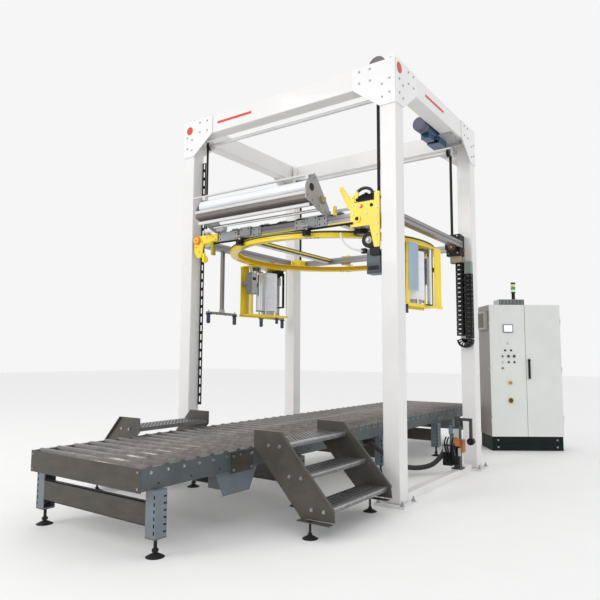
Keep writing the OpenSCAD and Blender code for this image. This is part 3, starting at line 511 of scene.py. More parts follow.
@tree_of("levelling_feet", pad_diameter=0.13, stem_diameter=0.018, stem_height=0.15)
def foot_tree(tree, wide, stem, height):
    pad = solid(tree, "GeometryNodeMeshCone", ("Vertices", 32), ("Depth", 0.022),
                ("Radius Bottom", sum_of(tree, wide, None)),
                ("Radius Top", sum_of(tree, wide, None, value=0.18)))
    nut = sum_of(tree, stem, None, value=0.8)
    nuts = [cylinder(tree, stem, nut, 6, at, 0.95) for at in (sum_of(tree, height, nut, "SUBTRACT"),
                sum_of(tree, nut, None, value=1.7))]
    return join(tree, pad, cylinder(tree, stem, height, 14, None, 0.5), *nuts)


def repeat(name, tree, spots, body, finish_used, replaces=(), slot=None, **values):
    """Grows a tree on spots of (point, turn, size) and keeps the result as a plain mesh"""
    seed = bpy.data.meshes.new(name)
    seed.from_pydata([tuple(s[0]) for s in spots], [], [])
    for label, k, default in (("turn", 1, (0, 0, 0)), ("size", 2, (1, 1, 1))):
        layer = seed.attributes.new(label, "FLOAT_VECTOR", "POINT")
        for i, spot in enumerate(spots):
            layer.data[i].vector = spot[k] if len(spot) > k else default
    source = bpy.data.objects.new(name + "_points", seed)
    bpy.context.scene.collection.objects.link(source)
    grow = source.modifiers.new("Grow", "NODES")
    grow.node_group = tree
    for item in tree.interface.items_tree:
        if item.item_type == "SOCKET" and item.in_out == "INPUT" and item.name != "Geometry":
            key = item.name.lower().replace(" ", "_")
            if item.name == "Finish":
                grow[item.identifier] = finish_used
            elif key in values:
                grow[item.identifier] = values[key]
    depth = bpy.context.evaluated_depsgraph_get()
    mesh = bpy.data.meshes.new_from_object(source.evaluated_get(depth), depsgraph=depth)
    mesh.name = name
    bpy.data.objects.remove(source)
    if not mesh.vertices:
        raise RuntimeError(f"{name} grew nothing")
    if not mesh.materials:
        mesh.materials.append(finish_used)
    return place(name, mesh, (), body, replaces, slot)


def bolts(name, spots, body, width=None, height=None, finish_used=None, replaces=()):
    width = width or sizes().small_bolt_width
    return repeat(name, bolt_tree(), spots, body, finish_used or steel(), replaces, head_width=width,
                  head_height=height or width * 0.45)


def drilled(name, spots, body, wide, thick):
    """Dark discs of painted shade that stand for drilled holes"""
    repeat(name, disc_tree(), spots, body, void(), diameter=wide, thickness=thick)


def on(matrix, spots):
    """Spots carried into another piece's own frame"""
    moved = []
    for spot in spots:
        turn = (matrix.to_3x3() @ Euler(spot[1]).to_matrix()).to_euler()
        moved.append((matrix @ Vector(spot[0]), tuple(turn), *spot[2:]))
    return moved


# ---- Stage and cords -----------------------------------------------------

class BuildStage(bpy.types.Operator):
    """Makes the floor, the soft studio light and the camera"""
    bl_idname = "wrapper.stage"
    bl_label = "Stage"

    def execute(self, context):
        scene = context.scene
        scene.view_settings.view_transform = "Standard"
        world = bpy.data.worlds.new("Studio")
        world.use_nodes = True
        world.node_tree.nodes["Background"].inputs["Color"].default_value = (1.0, 1.0, 1.0, 1)
        world.node_tree.nodes["Background"].inputs["Strength"].default_value = 0.92
        scene.world = world
        ground = Shape()
        ground.blocks((-40, 40, -40, 40, -0.02, -0.001, 0))
        floor = ground.place("studio_floor",
                             [finish("pale_floor", (0.9, 0.9, 0.9), 0.7, mottle=0.01, dent=0.01)], None)
        for name, at, size, power in (("key_light", (-4.0, -11.0, 6.5), 5.0, 330),
                                      ("side_light", (9.0, -3.0, 4.0), 5.0, 30),
                                      ("top_light", (0.0, -1.0, 10.0), 7.0, 40)):
            lamp = bpy.data.lights.new(name, "AREA")
            lamp.size, lamp.energy = size, power
            lamp.color = (0.72, 0.86, 1.0) if name == "side_light" else (1.0, 0.98, 0.95)
            lit = bpy.data.objects.new(name, lamp)
            lit.location = at
            lit.rotation_euler = (Vector((0, -0.5, 1.6)) - Vector(at)).to_track_quat("-Z", "Y").to_euler()
            scene.collection.objects.link(lit)
        lens = bpy.data.cameras.new("view")
        lens.lens, lens.sensor_width, lens.clip_end = LENS, 36.0, 200.0
        camera = bpy.data.objects.new("view", lens)
        camera.matrix_world = Matrix.Translation(CAMERA_AT)
        for angle, axis in zip(CAMERA_TURN, "ZXZ"):
            camera.matrix_world @= Matrix.Rotation(math.radians(angle), 4, axis)
        scene.collection.objects.link(camera)
        scene.camera = camera
        return {"FINISHED"}


def smooth(points, steps):
    """Points on the smooth curve through the given ones"""
    p = [Vector(q) for q in points]
    made = []
    for i in range(len(p) - 1):
        a, b, c, d = p[max(i - 1, 0)], p[i], p[i + 1], p[min(i + 2, len(p) - 1)]
        for k in range(steps):
            f = k / steps
            bend = (2 * a - 5 * b + 4 * c - d) * f * f + (3 * b - a - 3 * c + d) * f ** 3
            made.append(0.5 * (2 * b + (c - a) * f + bend))
    return made + [p[-1]]


class BuildHoses(bpy.types.Operator):
    """Makes the corrugated hoses of the clamp unit and of the lift"""
    bl_idname = "wrapper.hoses"
    bl_label = "Hoses"

    def execute(self, context):
        hose = finish("corrugated_hose", (0.014, 0.014, 0.016), 0.5, mottle=0.2)
        for name, node_name, body, d, points, steps in (
                ("clamp_hose", "hose_loom", "root", 0.056,
                 [(0.544, -0.2, 0.39), (0.604, -0.2, 0.388), (0.714, -0.15, 0.31), (0.834, 0.02, 0.15),
                  (0.945, 0.23, 0.084), (1.075, 0.41, 0.1), (1.155, 0.52, 0.19), (1.205, 0.56, 0.29),
                  (1.26, 0.56, 0.3)], 12),
                ("bracket_hose", "lift_hoses", "lift", 0.032,
                 [(0.95, -1.08, 2.836), (0.95, -1.08, 2.886), (0.975, -1.078, 2.956), (1.05, -1.076, 2.986),
                  (1.125, -1.078, 2.956), (1.15, -1.08, 2.886), (1.15, -1.08, 2.836)], 9)):
            path = smooth(points, steps)
            tube = Shape()
            tube.sweep(path, d, 14, swell=lambda i: 1.0 if i % 2 else 0.95)
            made = place(name, tube.mesh(name), [hose], body, [node_name], "hose_black")
        return {"FINISHED"}


# ---- Portal --------------------------------------------------------------

class BuildPortal(bpy.types.Operator):
    """Makes the posts, top beams, corner plates, feet and their bolts"""
    bl_idname = "wrapper.portal"
    bl_label = "Portal"

    def execute(self, context):
        posts, beams = Shape(), Shape()
        for sx in (-1, 1):
            for sy in (-1, 1):
                posts.blocks((sx * IN_X, sx * HALF_W, sy * IN_Y, sy * HALF_L, 0.02, TOP, 0))
            beams.blocks((sx * IN_X, sx * HALF_W, -IN_Y, IN_Y, 3.98, TOP, 0),
                         (-IN_X, IN_X, sx * IN_Y, sx * HALF_L, 3.98, TOP, 0))
        posts.place("post_tubes", [enamel()], "root", ["portal_posts"], "painted_white", 0.012)
        beams.place("beam_tubes", [enamel()], "root", ["top_beams"], "painted_white", 0.008)
        bracket = finish("bracket_green", (0.2, 0.25, 0.22), 0.5, mottle=0.1)
        dress("corner_plates", [finish("plate_enamel", (0.83, 0.82, 0.83), 0.36, mottle=0.03, clear=0.3),
                                bracket], lambda c: 1 if c.z < 3 else 0)
        dress("floor_frame", [enamel()])
        heads = []
        flat = [(u, v) for u in (0.27, 0.39) for v in (0.05, 0.17)]
        flat += [(0.06, 0.2), (0.06, 0.34), (0.14, 0.24), (0.14, 0.37)]
        for sx, sy in CORNERS:
            for u, v in flat:
                heads.append(((sx * (HALF_W - u), sy * (HALF_L + 0.012), TOP - v),
                              FACE["+y" if sy > 0 else "-y"]))
                heads.append(((sx * (HALF_W + 0.012), sy * (HALF_L - u), TOP - v), facing(sx)))
        # The bolts carry the portal's enamel; their darker grey is painted shade on the bolt heads.
        bolts("portal_bolts", heads, "root", sizes().bolt_width, sizes().bolt_height,
              finish("painted_bolt", (0.42, 0.44, 0.44), 0.4, 0.2), ["frame_bolts"])
        anchors = [((sx * POST_X + u, sy * POST_Y + v, 0.02), UP) for sx, sy in CORNERS
                   for u in (-0.118, 0.118) for v in (-0.118, 0.118)]
        bolts("anchor_bolts", anchors, "root", 0.03, 0.018)
        repeat("anchor_studs", disc_tree(), anchors, "root", steel(), diameter=0.016, thickness=0.045)
        marks = Shape()
        red = finish("mark_red", (0.62, 0.06, 0.03), 0.4, mottle=0.04)
        marks.washer(0, 0.05, 0.0015, (-1.33, -HALF_L - 0.0122, 4.08), (0, -1, 0), 40)
        marks.washer(0, 0.055, 0.0015, (HALF_W + 0.0122, -1.08, 4.11), (1, 0, 0), 40)
        marks.blocks((-0.88, -0.36, -HALF_L - 0.0012, -HALF_L, 4.075, 4.105, 0),
                     (HALF_W, HALF_W + 0.0012, -0.42, 0.1, 4.075, 4.105, 0))
        marks.place("plain_marks", [red], "root")
        return {"FINISHED"}


class BuildLiftDrive(bpy.types.Operator):
    """Makes the gearmotor, shafts, belts, energy chain, reel and ladder of the lift"""
    bl_idname = "wrapper.lift_drive"
    bl_label = "Lift drive"

    def execute(self, context):
        blue = finish("motor_blue", colours().motor, 0.4, mottle=0.1, clear=0.2)
        x, z = MOTOR_X, MOTOR_Z
        motor = Shape()
        motor.blocks((1.08, 1.24, 0.45, 0.68, 3.89, 4.09, 0), (1.09, 1.23, 0.44, 0.45, 3.9, 4.08, 1))
        motor.rods(((x, 0.44, z), (x, 0.415, z), 0.168, 40), ((x, 0.415, z), (x, 0.14, z), 0.142, 40))
        motor.lathe([(0, 0), (0.084, 0), (0.084, 0.095), (0.074, 0.11), (0, 0.11)], (x, 0.14, z), (0, -1, 0),
                    44, f=3)
        motor.blocks((1.11, 1.21, 0.2, 0.36, 3.88, 3.94, 0), (1.07, 1.4, 0.42, 0.78, 3.968, 3.98, 2),
                     (1.07, 1.4, 0.774, 0.78, 3.93, 3.97, 2))
        motor.rods(((1.11, 0.28, 3.905), (1.085, 0.28, 3.905), 0.022, 12, 1),
                   ((x, 0.68, z), (x, 0.695, z), 0.11, 32, 1))
        fan_cover = finish("fan_cover_violet", (0.11, 0.11, 0.18), 0.35, 0.2, mottle=0.2)
        motor.place("gearmotor_body", [blue, dark(), light_grey(), fan_cover], "root", ["lift_gearmotor"],
                    "motor_blue", 0.004)
        fins = []
        for k in range(sizes().fins):
            t = 2 * math.pi * k / sizes().fins
            fins.append(((x + 0.0755 * math.cos(t), 0.28, z + 0.0755 * math.sin(t)), (0, -t, 0),
                         (0.012, 0.26, 0.004)))
        repeat("gearmotor_fins", bar_tree(), fins, "root", blue)
        drilled("fan_cover_holes",
                [((x + r * math.cos(t), 0.0302, z + r * math.sin(t)), FACE["-y"])
                 for r, n in ((0.02, 6), (0.04, 12), (0.058, 18))
                 for t in (2 * math.pi * k / n for k in range(n))], "root", 0.008, 0.0006)
        drilled("motor_plate_holes",
                [((px, py, 3.968), DOWN) for px in (1.1, 1.16, 1.22) for py in (0.71, 0.75)], "root", 0.022,
                0.0006)
        bolts("gearmotor_bolts", [((x + 0.06 * sx, 0.44, z + 0.07 * sz), FACE["-y"]) for sx in (-1, 1)
                                  for sz in (-1, 1)] + [((1.385, y, 3.968), DOWN) for y in (0.46, 0.6, 0.74)],
              "root", 0.016)
        reel = Shape()
        reel.lathe([(0.02, 0), (0.095, 0), (0.095, 0.006), (0.075, 0.008), (0.075, 0.05), (0.095, 0.052),
                    (0.095, 0.06), (0.02, 0.06)], (REEL_X, -0.97, REEL_Z), (0, 1, 0), 40)
        for k in range(4):
            reel.lathe([(0.02, 0), (0.058, 0), (0.065, 0.005), (0.065, 0.015), (0.058, 0.0199),
                        (0.02, 0.0199)], (REEL_X, -0.91 + 0.02 * k, REEL_Z), (0, 1, 0), 32, f=1)
        reel.blocks((1.085, 1.205, -0.97, -0.96, 4.14, 4.27, 0))
        reel.rod((REEL_X, -0.972, REEL_Z), (REEL_X, -0.828, REEL_Z), 0.04, sides=20, f=2)
        reel.place("cable_reel", [finish("reel_grey", (0.16, 0.145, 0.15), 0.45, mottle=0.15), dark(),
                                  steel()], "root", ["top_reel"], "reel_grey", 0.002)
        dress("safety_ladder", [dark()])
        for name, sy in (("front_lift_shaft", -1), ("rear_lift_shaft", 1)):
            dress(name, [finish("shaft_pale", (0.66, 0.66, 0.67), 0.35, 0.2, mottle=0.06), dark()],
                  lambda c, sy=sy: 1 if math.hypot(c.y - sy * SHAFT_Y, c.z - SHAFT_Z) > 0.021 else 0)
            rims = Shape()
            for x in (-1.1915, -1.1515, 1.1485, 1.1885):
                rims.washer(0.02, 0.054, 0.003, (x, sy * SHAFT_Y, SHAFT_Z), (1, 0, 0), 40)
            end = name.split("_")[0]
            rims.place(end + "_pulley_rims", [steel()], end + "_shaft")
        bearings = Shape()
        for sx, sy in CORNERS:
            bearings.lathe([(0.0206, 0), (0.042, 0), (0.042, 0.008), (0.032, 0.016), (0.0206, 0.016)],
                           (sx * 1.214, sy * SHAFT_Y, SHAFT_Z), (-sx, 0, 0), 36)
        bearings.place("shaft_bearings", [light_grey()], "root")

        belt = Shape()
        levels = 80
        for sx, sy in CORNERS:
            x, y = sx * 1.17, sy * 0.998
            rings = []
            for k in range(levels + 1):
                z = SHAFT_Z - (SHAFT_Z - LIFT_TOP) * k / levels
                t = 0.002 if k % 2 else 0.0013
                edges = ((-0.017, -t), (0.017, -t), (0.017, 0.002), (-0.017, 0.002))
                rings.append([belt.bm.verts.new((x + dx, y + sy * dy, z)) for dx, dy in edges])
            for a, b in zip(rings, rings[1:]):
                for k in range(4):
                    belt.bm.faces.new((a[k], a[(k + 1) % 4], b[(k + 1) % 4], b[k]))
            belt.bm.faces.new(rings[0])
            belt.bm.faces.new(rings[-1])
        belts = belt.place("toothed_belts", [rubber()], None, ["lift_belts"], "belt_black")
        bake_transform(belts)

        pitch = sizes().link_pitch
        arc_z, low = 1.543, 1.452
        # The rung marks are the same on both strands: the moving strand's pale tone is painted light, the
        # fixed strand's dark tone painted shade.
        for name, x, top, first, last, shade in (
                ("moving_strand", CHAIN_X, 2.486, 180, 270, (0.7, 0.7, 0.7)),
                ("fixed_strand", CHAIN_X + 2 * CHAIN_R, 2.346, 270, 360, (0.05, 0.055, 0.06))):
            steps = int((top - arc_z) / pitch)
            spots = [((x, CHAIN_Y, top - pitch * (k + 0.5)), 0.0) for k in range(steps)]
            for k in range(3):
                t = math.radians(first + (last - first) * (k + 0.5) / 3)
                spots.append(((CHAIN_X + CHAIN_R + CHAIN_R * math.cos(t), CHAIN_Y,
                               arc_z + CHAIN_R * math.sin(t)), math.pi - t if first == 180 else -t))
            plates, rungs = [], []
            for (px, py, pz), t in spots:
                tall = pitch * (0.96 if t == 0.0 else 0.8)
                for side in (-1, 1):
                    plates.append(((px, py + side * 0.031, pz), (0, t, 0), (0.082, 0.01, tall)))
                    rungs.append(((px, py + side * 0.0368, pz), (0, t, 0), (0.034, 0.0016, pitch * 0.26)))
                for off in (-0.036, 0.036):
                    plates.append(((px + off * math.cos(t), py, pz - off * math.sin(t)), (0, t, 0),
                                   (0.008, 0.056, pitch * 0.6)))
            links = repeat(name + "_links", bar_tree(), plates, None, dark())
            bars = repeat(name + "_rungs", bar_tree(), rungs, None,
                          finish(name + "_rung_plastic", shade, 0.5, mottle=0.1))
            far, near = (0, 0, 2 * low - top), (0, 0, top)
            start, end = (far, near) if first == 180 else (near, far)
            for strand in (links, bars):
                if first == 180 and strand is links:
                    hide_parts("energy_chain")
                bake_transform(strand)
        return {"FINISHED"}


# ---- Conveyor and steps --------------------------------------------------

class BuildConveyor(bpy.types.Operator):
    """Makes the rollers, rails, legs, feet and drives of the conveyor"""
    bl_idname = "wrapper.conveyor"
    bl_label = "Conveyor"

    def execute(self, context):
        zinc = finish("roller_zinc", colours().rollers, 0.3, 0.75, mottle=0.25, patch=5, along=(3, 1, 1),
                      grain=40)
        size = dict(tube_diameter=sizes().roller_diameter, tube_length=sizes().roller_length)
        infeed, main_drive, pitch = 2, 22, 0.15
        ys = [INFEED + pitch / 2 + pitch * i for i in range(44)]
        idle = [y for i, y in enumerate(ys) if i not in (infeed, main_drive)]
        for name, node_name, body, picked in (
                ("idle_rollers", "conveyor_rollers", "root", idle),
                ("driven_roller_infeed", "infeed_roller", "infeed_drive", [ys[infeed]]),
                ("driven_roller_main", "main_roller", "main_drive", [ys[main_drive]])):
            made = repeat(name, roller_tree(), [((0, y, ROLLER_Z), FACE["+x"]) for y in picked], body, zinc,
                          [node_name], "roller_steel", **size)
            for face in made.data.polygons:
                face.use_smooth = abs(face.normal.x) < 0.5
        dress("conveyor_rails", [conveyor_paint()])
        brown = finish("brown_sheet", (0.06, 0.054, 0.043), 0.4, 0.2, mottle=0.2, patch=6, along=(1, 1, 3))
        pale_blue = finish("gusset_blue", (0.15, 0.18, 0.205), 0.42, mottle=0.12, patch=5)
        dress("conveyor_supports", [pale_blue, brown], lambda c: 1 if abs(c.x) < 0.599 else 0)
        dress("end_covers", [brown])
        dress("conveyor_drives", [grey(), dark(), pale_blue, brown],
              lambda c: 3 if c.x > 0.645 else 2 if c.x > 0.6041 else 1 if c.x < 0.4 else 0)
        heads = [((s * RAIL_X, y, ROLLER_Z), facing(s)) for y in ys for s in (-1, 1)]
        bolts("axle_bolts", heads, "root", sizes().axle_bolt_width, 0.009)
        low = [((s * RAIL_X, INFEED + pitch + 2 * pitch * i, 0.475), facing(s))
               for i in range(22) for s in (-1, 1)]
        drilled("rail_holes", low, "root", 0.013, 0.0008)
        joints = Shape()
        for s in (-1, 1):
            joints.blocks((s * 0.65, s * 0.655, 1.68, 1.9, 0.455, 0.525, 0),
                          (s * 0.644, s * 0.62, INFEED, OUTFEED, 0.575, 0.5895, 0))
        joints.place("joint_plates", [conveyor_paint()], "root", edge=0.0015)
        bolts("joint_bolts",
              [((s * 0.655, 1.79 + d, 0.49), facing(s)) for s in (-1, 1)
               for d in (-0.085, -0.03, 0.03, 0.085)]
              + [((0.656, y, z), FACE["+x"]) for y in (-2.5, -2.29) for z in (0.445, 0.55)], "root", 0.017)
        slots = []
        for y in LEG_YS:
            for s in (-1, 1):
                for k in range(6):
                    z = 0.165 + 0.046 * k
                    slots.append(((s * (LEG_X + 0.05), y + 0.032, z), facing(s)))
                    slots.append(((s * (LEG_X + 0.035), y - 0.05, z), FACE["-y"]))
        # The slots are dark oblongs of painted shade.
        repeat("leg_slots", slot_tree(), slots, "root", void(), length=0.026, width=sizes().leg_slot,
               depth=0.0008)
        folds = Shape()
        for y in LEG_YS:
            for z in (TIE_Z[0], TIE_Z[1] - 0.005):
                folds.blocks((-0.6, 0.6, y - 0.05, y - 0.01, z, z + 0.005, 0))
            for s in (-1, 1):
                folds.blocks((s * 0.6, s * 0.7, y - 0.05, y + 0.05, 0.122, 0.13, 0))
        folds.place("tie_folds", [conveyor_paint()], "root")
        feet = [((s * LEG_X, y, 0.011), UP) for y in LEG_YS for s in (-1, 1)]
        repeat("conveyor_feet", foot_tree(), [((p[0], p[1], 0), t) for p, t in feet], "root", rubber(),
               ["levelling_feet"], "foot_black", pad_diameter=0.13, stem_diameter=0.024, stem_height=0.135)
        bolts("end_cover_screws",
              [((x, y, z), FACE[f]) for y, f in ((INFEED - 0.004, "-y"), (OUTFEED + 0.004, "+y"))
               for x in (-0.62, 0.62) for z in (0.455, 0.565)], "root", 0.012)
        return {"FINISHED"}


class BuildSteps(bpy.types.Operator):
    """Makes the perforated treads, stringers and feet of the two flights of steps"""
    bl_idname = "wrapper.steps"
    bl_label = "Steps"

    def execute(self, context):
        tread = finish("galvanised_tread", colours().treads, 0.36, 0.6, mottle=0.25, patch=12)
        side_paint = finish("stringer_paint", colours().steps, 0.4, 0.2, mottle=0.2, patch=6)
        treads, nosing = Shape(), Shape()
        rims, holes = [], []
        for s in (-1, 1):
            for top, nose, back in zip(STEP_TOPS, STEP_NOSES, STEP_BACKS):
                y = (STEP_FAR, STEP_NEAR)
                treads.block((s * back, s * nose), y, (top - 0.004, top))
                treads.block((s * (nose - 0.004), s * nose), y, (top - 0.036, top))
                treads.block((s * back, s * (back + 0.004)), y, (top - 0.036, top))
                nosing.block((s * (nose - 0.03), s * (nose + 0.0015)), y, (top - 0.012, top + 0.0015))
                across = int((nose - back - 0.07) / 0.044)
                for i in range(across + 1):
                    for k in range(20):
                        at = (s * (back + 0.03 + 0.044 * i), STEP_FAR + 0.042 + 0.044 * k, top)
                        rims.append((at, UP))
                        holes.append(((at[0], at[1], top + 0.0018), UP))
        treads.place("tread_plates", [tread], "root", ["step_treads"], "tread_steel", 0.0015)
        nosing.place("tread_nosings",
                     [finish("worn_nosing", (0.4, 0.4, 0.41), 0.32, 0.7, mottle=0.2, patch=20)], "root",
                     edge=0.001)
        repeat("tread_rims", disc_tree(), rims, "root", tread, diameter=sizes().tread_hole * 1.45,
               thickness=0.0018)
        drilled("tread_holes", holes, "root", sizes().tread_hole, 0.0006)
        dress("step_stringers", [side_paint])
        heads = []
        for s in (-1, 1):
            for top, nose in zip(STEP_TOPS, STEP_NOSES):
                for y, f in zip(STRINGER_YS, ("-y", "+y")):
                    for dx in (0.05, 0.16):
                        heads.append(((s * (nose - dx), y, top - 0.022), FACE[f]))
        bolts("tread_bolts", heads, "root", 0.02, 0.009)
        lips = Shape()
        for s in (-1, 1):
            for y, way in zip(STRINGER_YS, (-1, 1)):
                lips.plate([(s * 0.98, y, 0.74), (s * 1.455, y, 0.2287), (s * 1.455, y, 0.2147),
                            (s * 0.98, y, 0.726)], (0, way * 0.02, 0))
        lips.place("stringer_lips", [side_paint], "root")
        repeat("step_feet", foot_tree(), [((s * 1.27, y, 0), UP) for s in (-1, 1) for y in (-1.413, -2.339)],
               "root", rubber(), pad_diameter=0.12, stem_diameter=0.018, stem_height=0.125)
        return {"FINISHED"}


class BuildClamp(bpy.types.Operator):
    """Makes the film clamp unit beside the conveyor"""
    bl_idname = "wrapper.clamp"
    bl_label = "Film clamp"

    def execute(self, context):
        copper = finish("copper_part", (0.45, 0.17, 0.06), 0.4, 0.4, mottle=0.15)
        column = finish("clamp_dark", (0.035, 0.04, 0.045), 0.45, 0.2, mottle=0.2)
        dress("clamp_column", [column, copper, grey()],
              lambda c: 1 if c.x > CLAMP_X + 0.036 and 0.25 < c.z < 0.41
              else 2 if c.x < CLAMP_X - 0.034 and c.z > 0.19 else 0)
        dress("clamp_arm", [column, dark()],
              lambda c: 1 if c.z < 0.43 else 0)
        extras = Shape(Matrix.Translation((CLAMP_X, CLAMP_Y, 0)))
        extras.rods(((-0.06, -0.05, 0.46), (-0.06, -0.05, 0.53), 0.05, 24, 1),
                    ((-0.06, -0.05, 0.53), (-0.06, -0.05, 0.55), 0.054, 24, 0, 0.04))
        for k in range(4):
            x = -0.05 + 0.026 * k
            extras.blocks((x, x + 0.02, -0.075, -0.035, 0.22, 0.31, 2 if k % 2 else 3))
        extras.blocks((-0.03, 0.03, -0.05, -0.034, 0.4, 0.52, 2), (-0.16, -0.05, -0.06, 0.02, 0.1, 0.33, 3),
                      (-0.155, -0.07, -0.064, -0.06, 0.25, 0.32, 2),
                      (-0.02, 0.05, -0.09, -0.05, 0.33, 0.41, 4))
        for x, y in ((-0.12, -0.075), (-0.09, -0.08), (-0.03, -0.085), (0.0, -0.09)):
            extras.sweep(smooth([(x, -0.045, 0.42), (x - 0.01, y, 0.34), (x + 0.02, y, 0.2),
                                 (x, -0.045, 0.12)], 6), 0.016, 10, f=3)
        extras.place("valve_block", [finish("cap_blue", (0.03, 0.08, 0.34), 0.4), grey(), light_grey(),
                                     dark(), copper], "root", edge=0.002)
        bolts("clamp_bolts",
              [((CLAMP_X + x, CLAMP_Y + y, 0.082), UP) for x in (-0.048, 0.048) for y in (-0.048, 0.048)],
              "root")
        return {"FINISHED"}


# ---- Cabinet -------------------------------------------------------------

class BuildCabinet(bpy.types.Operator):
    """Makes the control cabinet with its doors, controls, grille and beacon"""
    bl_idname = "wrapper.cabinet"
    bl_label = "Control cabinet"

    def execute(self, context):
        local = CABINET.inverted()
        doors = finish("door_coat", colours().cabinet, 0.45, mottle=0.03, grain=300, dent=0.06)
        # The cabinet's left side gets a finish darker than the doors: partly its powder coat, partly painted
        # shade.
        sides = finish("side_coat", colours().cabinet_side, 0.5, mottle=0.05, grain=300, dent=0.06)
        base = finish("plinth_paint", colours().plinth, 0.5, mottle=0.3, shine=0.2)
        beige = finish("grille_beige", (0.42, 0.4, 0.36), 0.55, mottle=0.08)
        dress("cabinet_shell", [doors, sides, steel()],
              lambda c: (lambda p: 2 if p.y < 0.021 and not 0 < p.x < CAB_W else 1 if p.x < 0.002
                         else 0)(local @ c))
        dress("cabinet_plinth", [base])
        for name in ("door_left", "door_right"):
            dress(name, [doors])
        dress("door_handle", [dark()])
        dress("main_switch", [finish("switch_brown", (0.12, 0.07, 0.02), 0.4)])
        dress("start_button", [finish("button_green", (0.008, 0.06, 0.03), 0.3, clear=0.4)])
        dress("stop_button", [finish("button_red", (0.07, 0.012, 0.012), 0.3, clear=0.4)])
        # Dark strips down the gap between the doors and along the left door's top: painted shade of the gaps.
        gap_shade = Shape(CABINET)
        gap_shade.blocks((0.511, 0.514, FRONT - 0.0008, FRONT, 0.204, CAB_TOP - 0.004, 0),
                    (0.001, 0.514, -0.002, 0.0, CAB_TOP - 0.004, CAB_TOP, 0))
        gap_shade.place("door_seals", [dark()], "left_door")
        plates = Shape(CABINET)
        plates.blocks((0.193, 0.339, FRONT - 0.012, FRONT, 1.69, 1.812, 0),
                      (0.206, 0.326, FRONT - 0.0135, FRONT - 0.012, 1.706, 1.798, 1))
        for x, z in ((0.263, 1.541), (0.216, 1.434), (0.302, 1.434), (0.178, 1.349), (0.18, 1.263),
                     (0.265, 1.263), (0.348, 1.263), (0.176, 1.176)):
            plates.rods(((x, FRONT, z), (x, FRONT - 0.006, z), 0.03, 28, 2),
                        ((x, FRONT - 0.006, z), (x, FRONT - 0.014, z), 0.026, 28,
                         4 if z > 1.5 or x > 0.179 and x < 0.2 else 5 if x < 0.179 else 2, 0.023))
        for x, z in ((0.263, 1.349), (0.346, 1.349)):
            plates.rod((x, FRONT, z), (x, FRONT - 0.008, z), 0.04, sides=28, f=2, d2=0.036)
        plates.rods(((0.272, FRONT, 0.968), (0.272, FRONT - 0.008, 0.968), 0.066, 36, 3),
                    ((0.278, FRONT, 0.715), (0.278, FRONT - 0.006, 0.715), 0.08, 36, 3))
        plates.place("panel_controls",
                     [finish("bezel_violet", (0.2, 0.2, 0.3), 0.4),
                      finish("screen_light", (0.86, 0.89, 0.93), 0.2, glow=0.35), dark(),
                      finish("collar_cream", (0.8, 0.62, 0.3), 0.4), white_plastic(),
                      finish("lamp_green", (0.1, 0.2, 0.13), 0.3)], "left_door", ["control_panel"],
                     "panel_blue", 0.0012)
        knob = Shape(CABINET)
        knob.lathe([(0, 0), (0.012, 0), (0.012, 0.016), (0.021, 0.018), (0.022, 0.024), (0.018, 0.028),
                    (0, 0.028)], (0.272, FRONT - 0.016, 0.968), (0, -1, 0), 36)
        knob.place("stop_mushroom", [finish("mushroom_red", (0.5, 0.2, 0.05), 0.3, clear=0.4)], "estop",
                   ["estop_button"], "estop_red")
        tower = Shape(CABINET)
        level = CAB_TOP + 0.09
        for high, d, f in ((0.012, 0.07, 0), (0.095, 0.05, 0), (0.012, 0.068, 0), (0.034, 0.066, 1),
                           (0.045, 0.066, 2), (0.04, 0.066, 3), (0.026, 0.067, 0)):
            tower.rod((0.435, 0.18, level), (0.435, 0.18, level + high - 0.001), d, sides=32, f=f)
            level += high
        tower.place("signal_tower", [dark(), finish("lens_white", (0.8, 0.8, 0.78), 0.25, clear=0.5),
                                     finish("lens_green", (0.03, 0.3, 0.06), 0.2, clear=0.5, glow=0.15),
                                     finish("lens_yellow", (0.75, 0.66, 0.25), 0.2, clear=0.5)], "root",
                    ["beacon_tower"], "beacon_black", 0.001)
        boxes = Shape(CABINET)
        boxes.blocks((0.185, 0.555, 0.08, 0.33, CAB_TOP, CAB_TOP + 0.09, 0),
                     (-0.055, 0.0, 0.06, 0.44, 1.745, 2.01, 1),
                     (-0.057, -0.055, 0.085, 0.415, 1.77, 1.985, 2))
        boxes.place("cabinet_vents", [light_grey(), beige, dark()], "root", ["cabinet_units"], "unit_beige",
                    0.002)
        repeat("roof_ribs", bar_tree(),
               on(CABINET, [((0.195 + 0.0206 * k, 0.0785, 2.145), UP, (0.009, 0.005, 0.078))
                            for k in range(18)]), "root", dark())
        repeat("grille_slats", bar_tree(),
               on(CABINET, [((-0.0585, 0.25, 1.778 + 0.0135 * k), (0, 0.5, 0), (0.003, 0.325, 0.009))
                            for k in range(16)]), "root", finish("slat_brown", (0.22, 0.19, 0.16), 0.5))
        bolts("plinth_bolts",
              on(CABINET, [((x, 0.005, z), FACE["-y"]) for x in (0.09, 0.94) for z in (0.05, 0.15)]), "root",
              0.018)
        # The seam is a dark strip of painted shade.
        lines = Shape(CABINET)
        lines.blocks((0.006, CAB_W - 0.006, 0.0035, 0.005, 0.098, 0.102, 0))
        lines.place("plinth_seam", [void()], "root")
        return {"FINISHED"}


# ---- Lift, top sheet unit and ring ---------------------------------------

def slotted_profile(shape, a, b, wide, high, f=0):
    """An aluminium profile with a slot along each side, from a to b"""
    a, b = Vector(a), Vector(b)
    way = (b - a).normalized()
    side = Vector((0, 0, 1)).cross(way)
    w, h, g, d = wide / 2, high / 2, 0.005, 0.009
    section = [(-w, -h), (-g, -h), (-g, -h + d), (g, -h + d), (g, -h), (w, -h), (w, -g), (w - d, -g),
               (w - d, g), (w, g), (w, h), (g, h), (g, h - d), (-g, h - d), (-g, h), (-w, h), (-w, g),
               (-w + d, g), (-w + d, -g), (-w, -g)]
    shape.plate([a + side * u + Vector((0, 0, v)) for u, v in section], b - a, f)


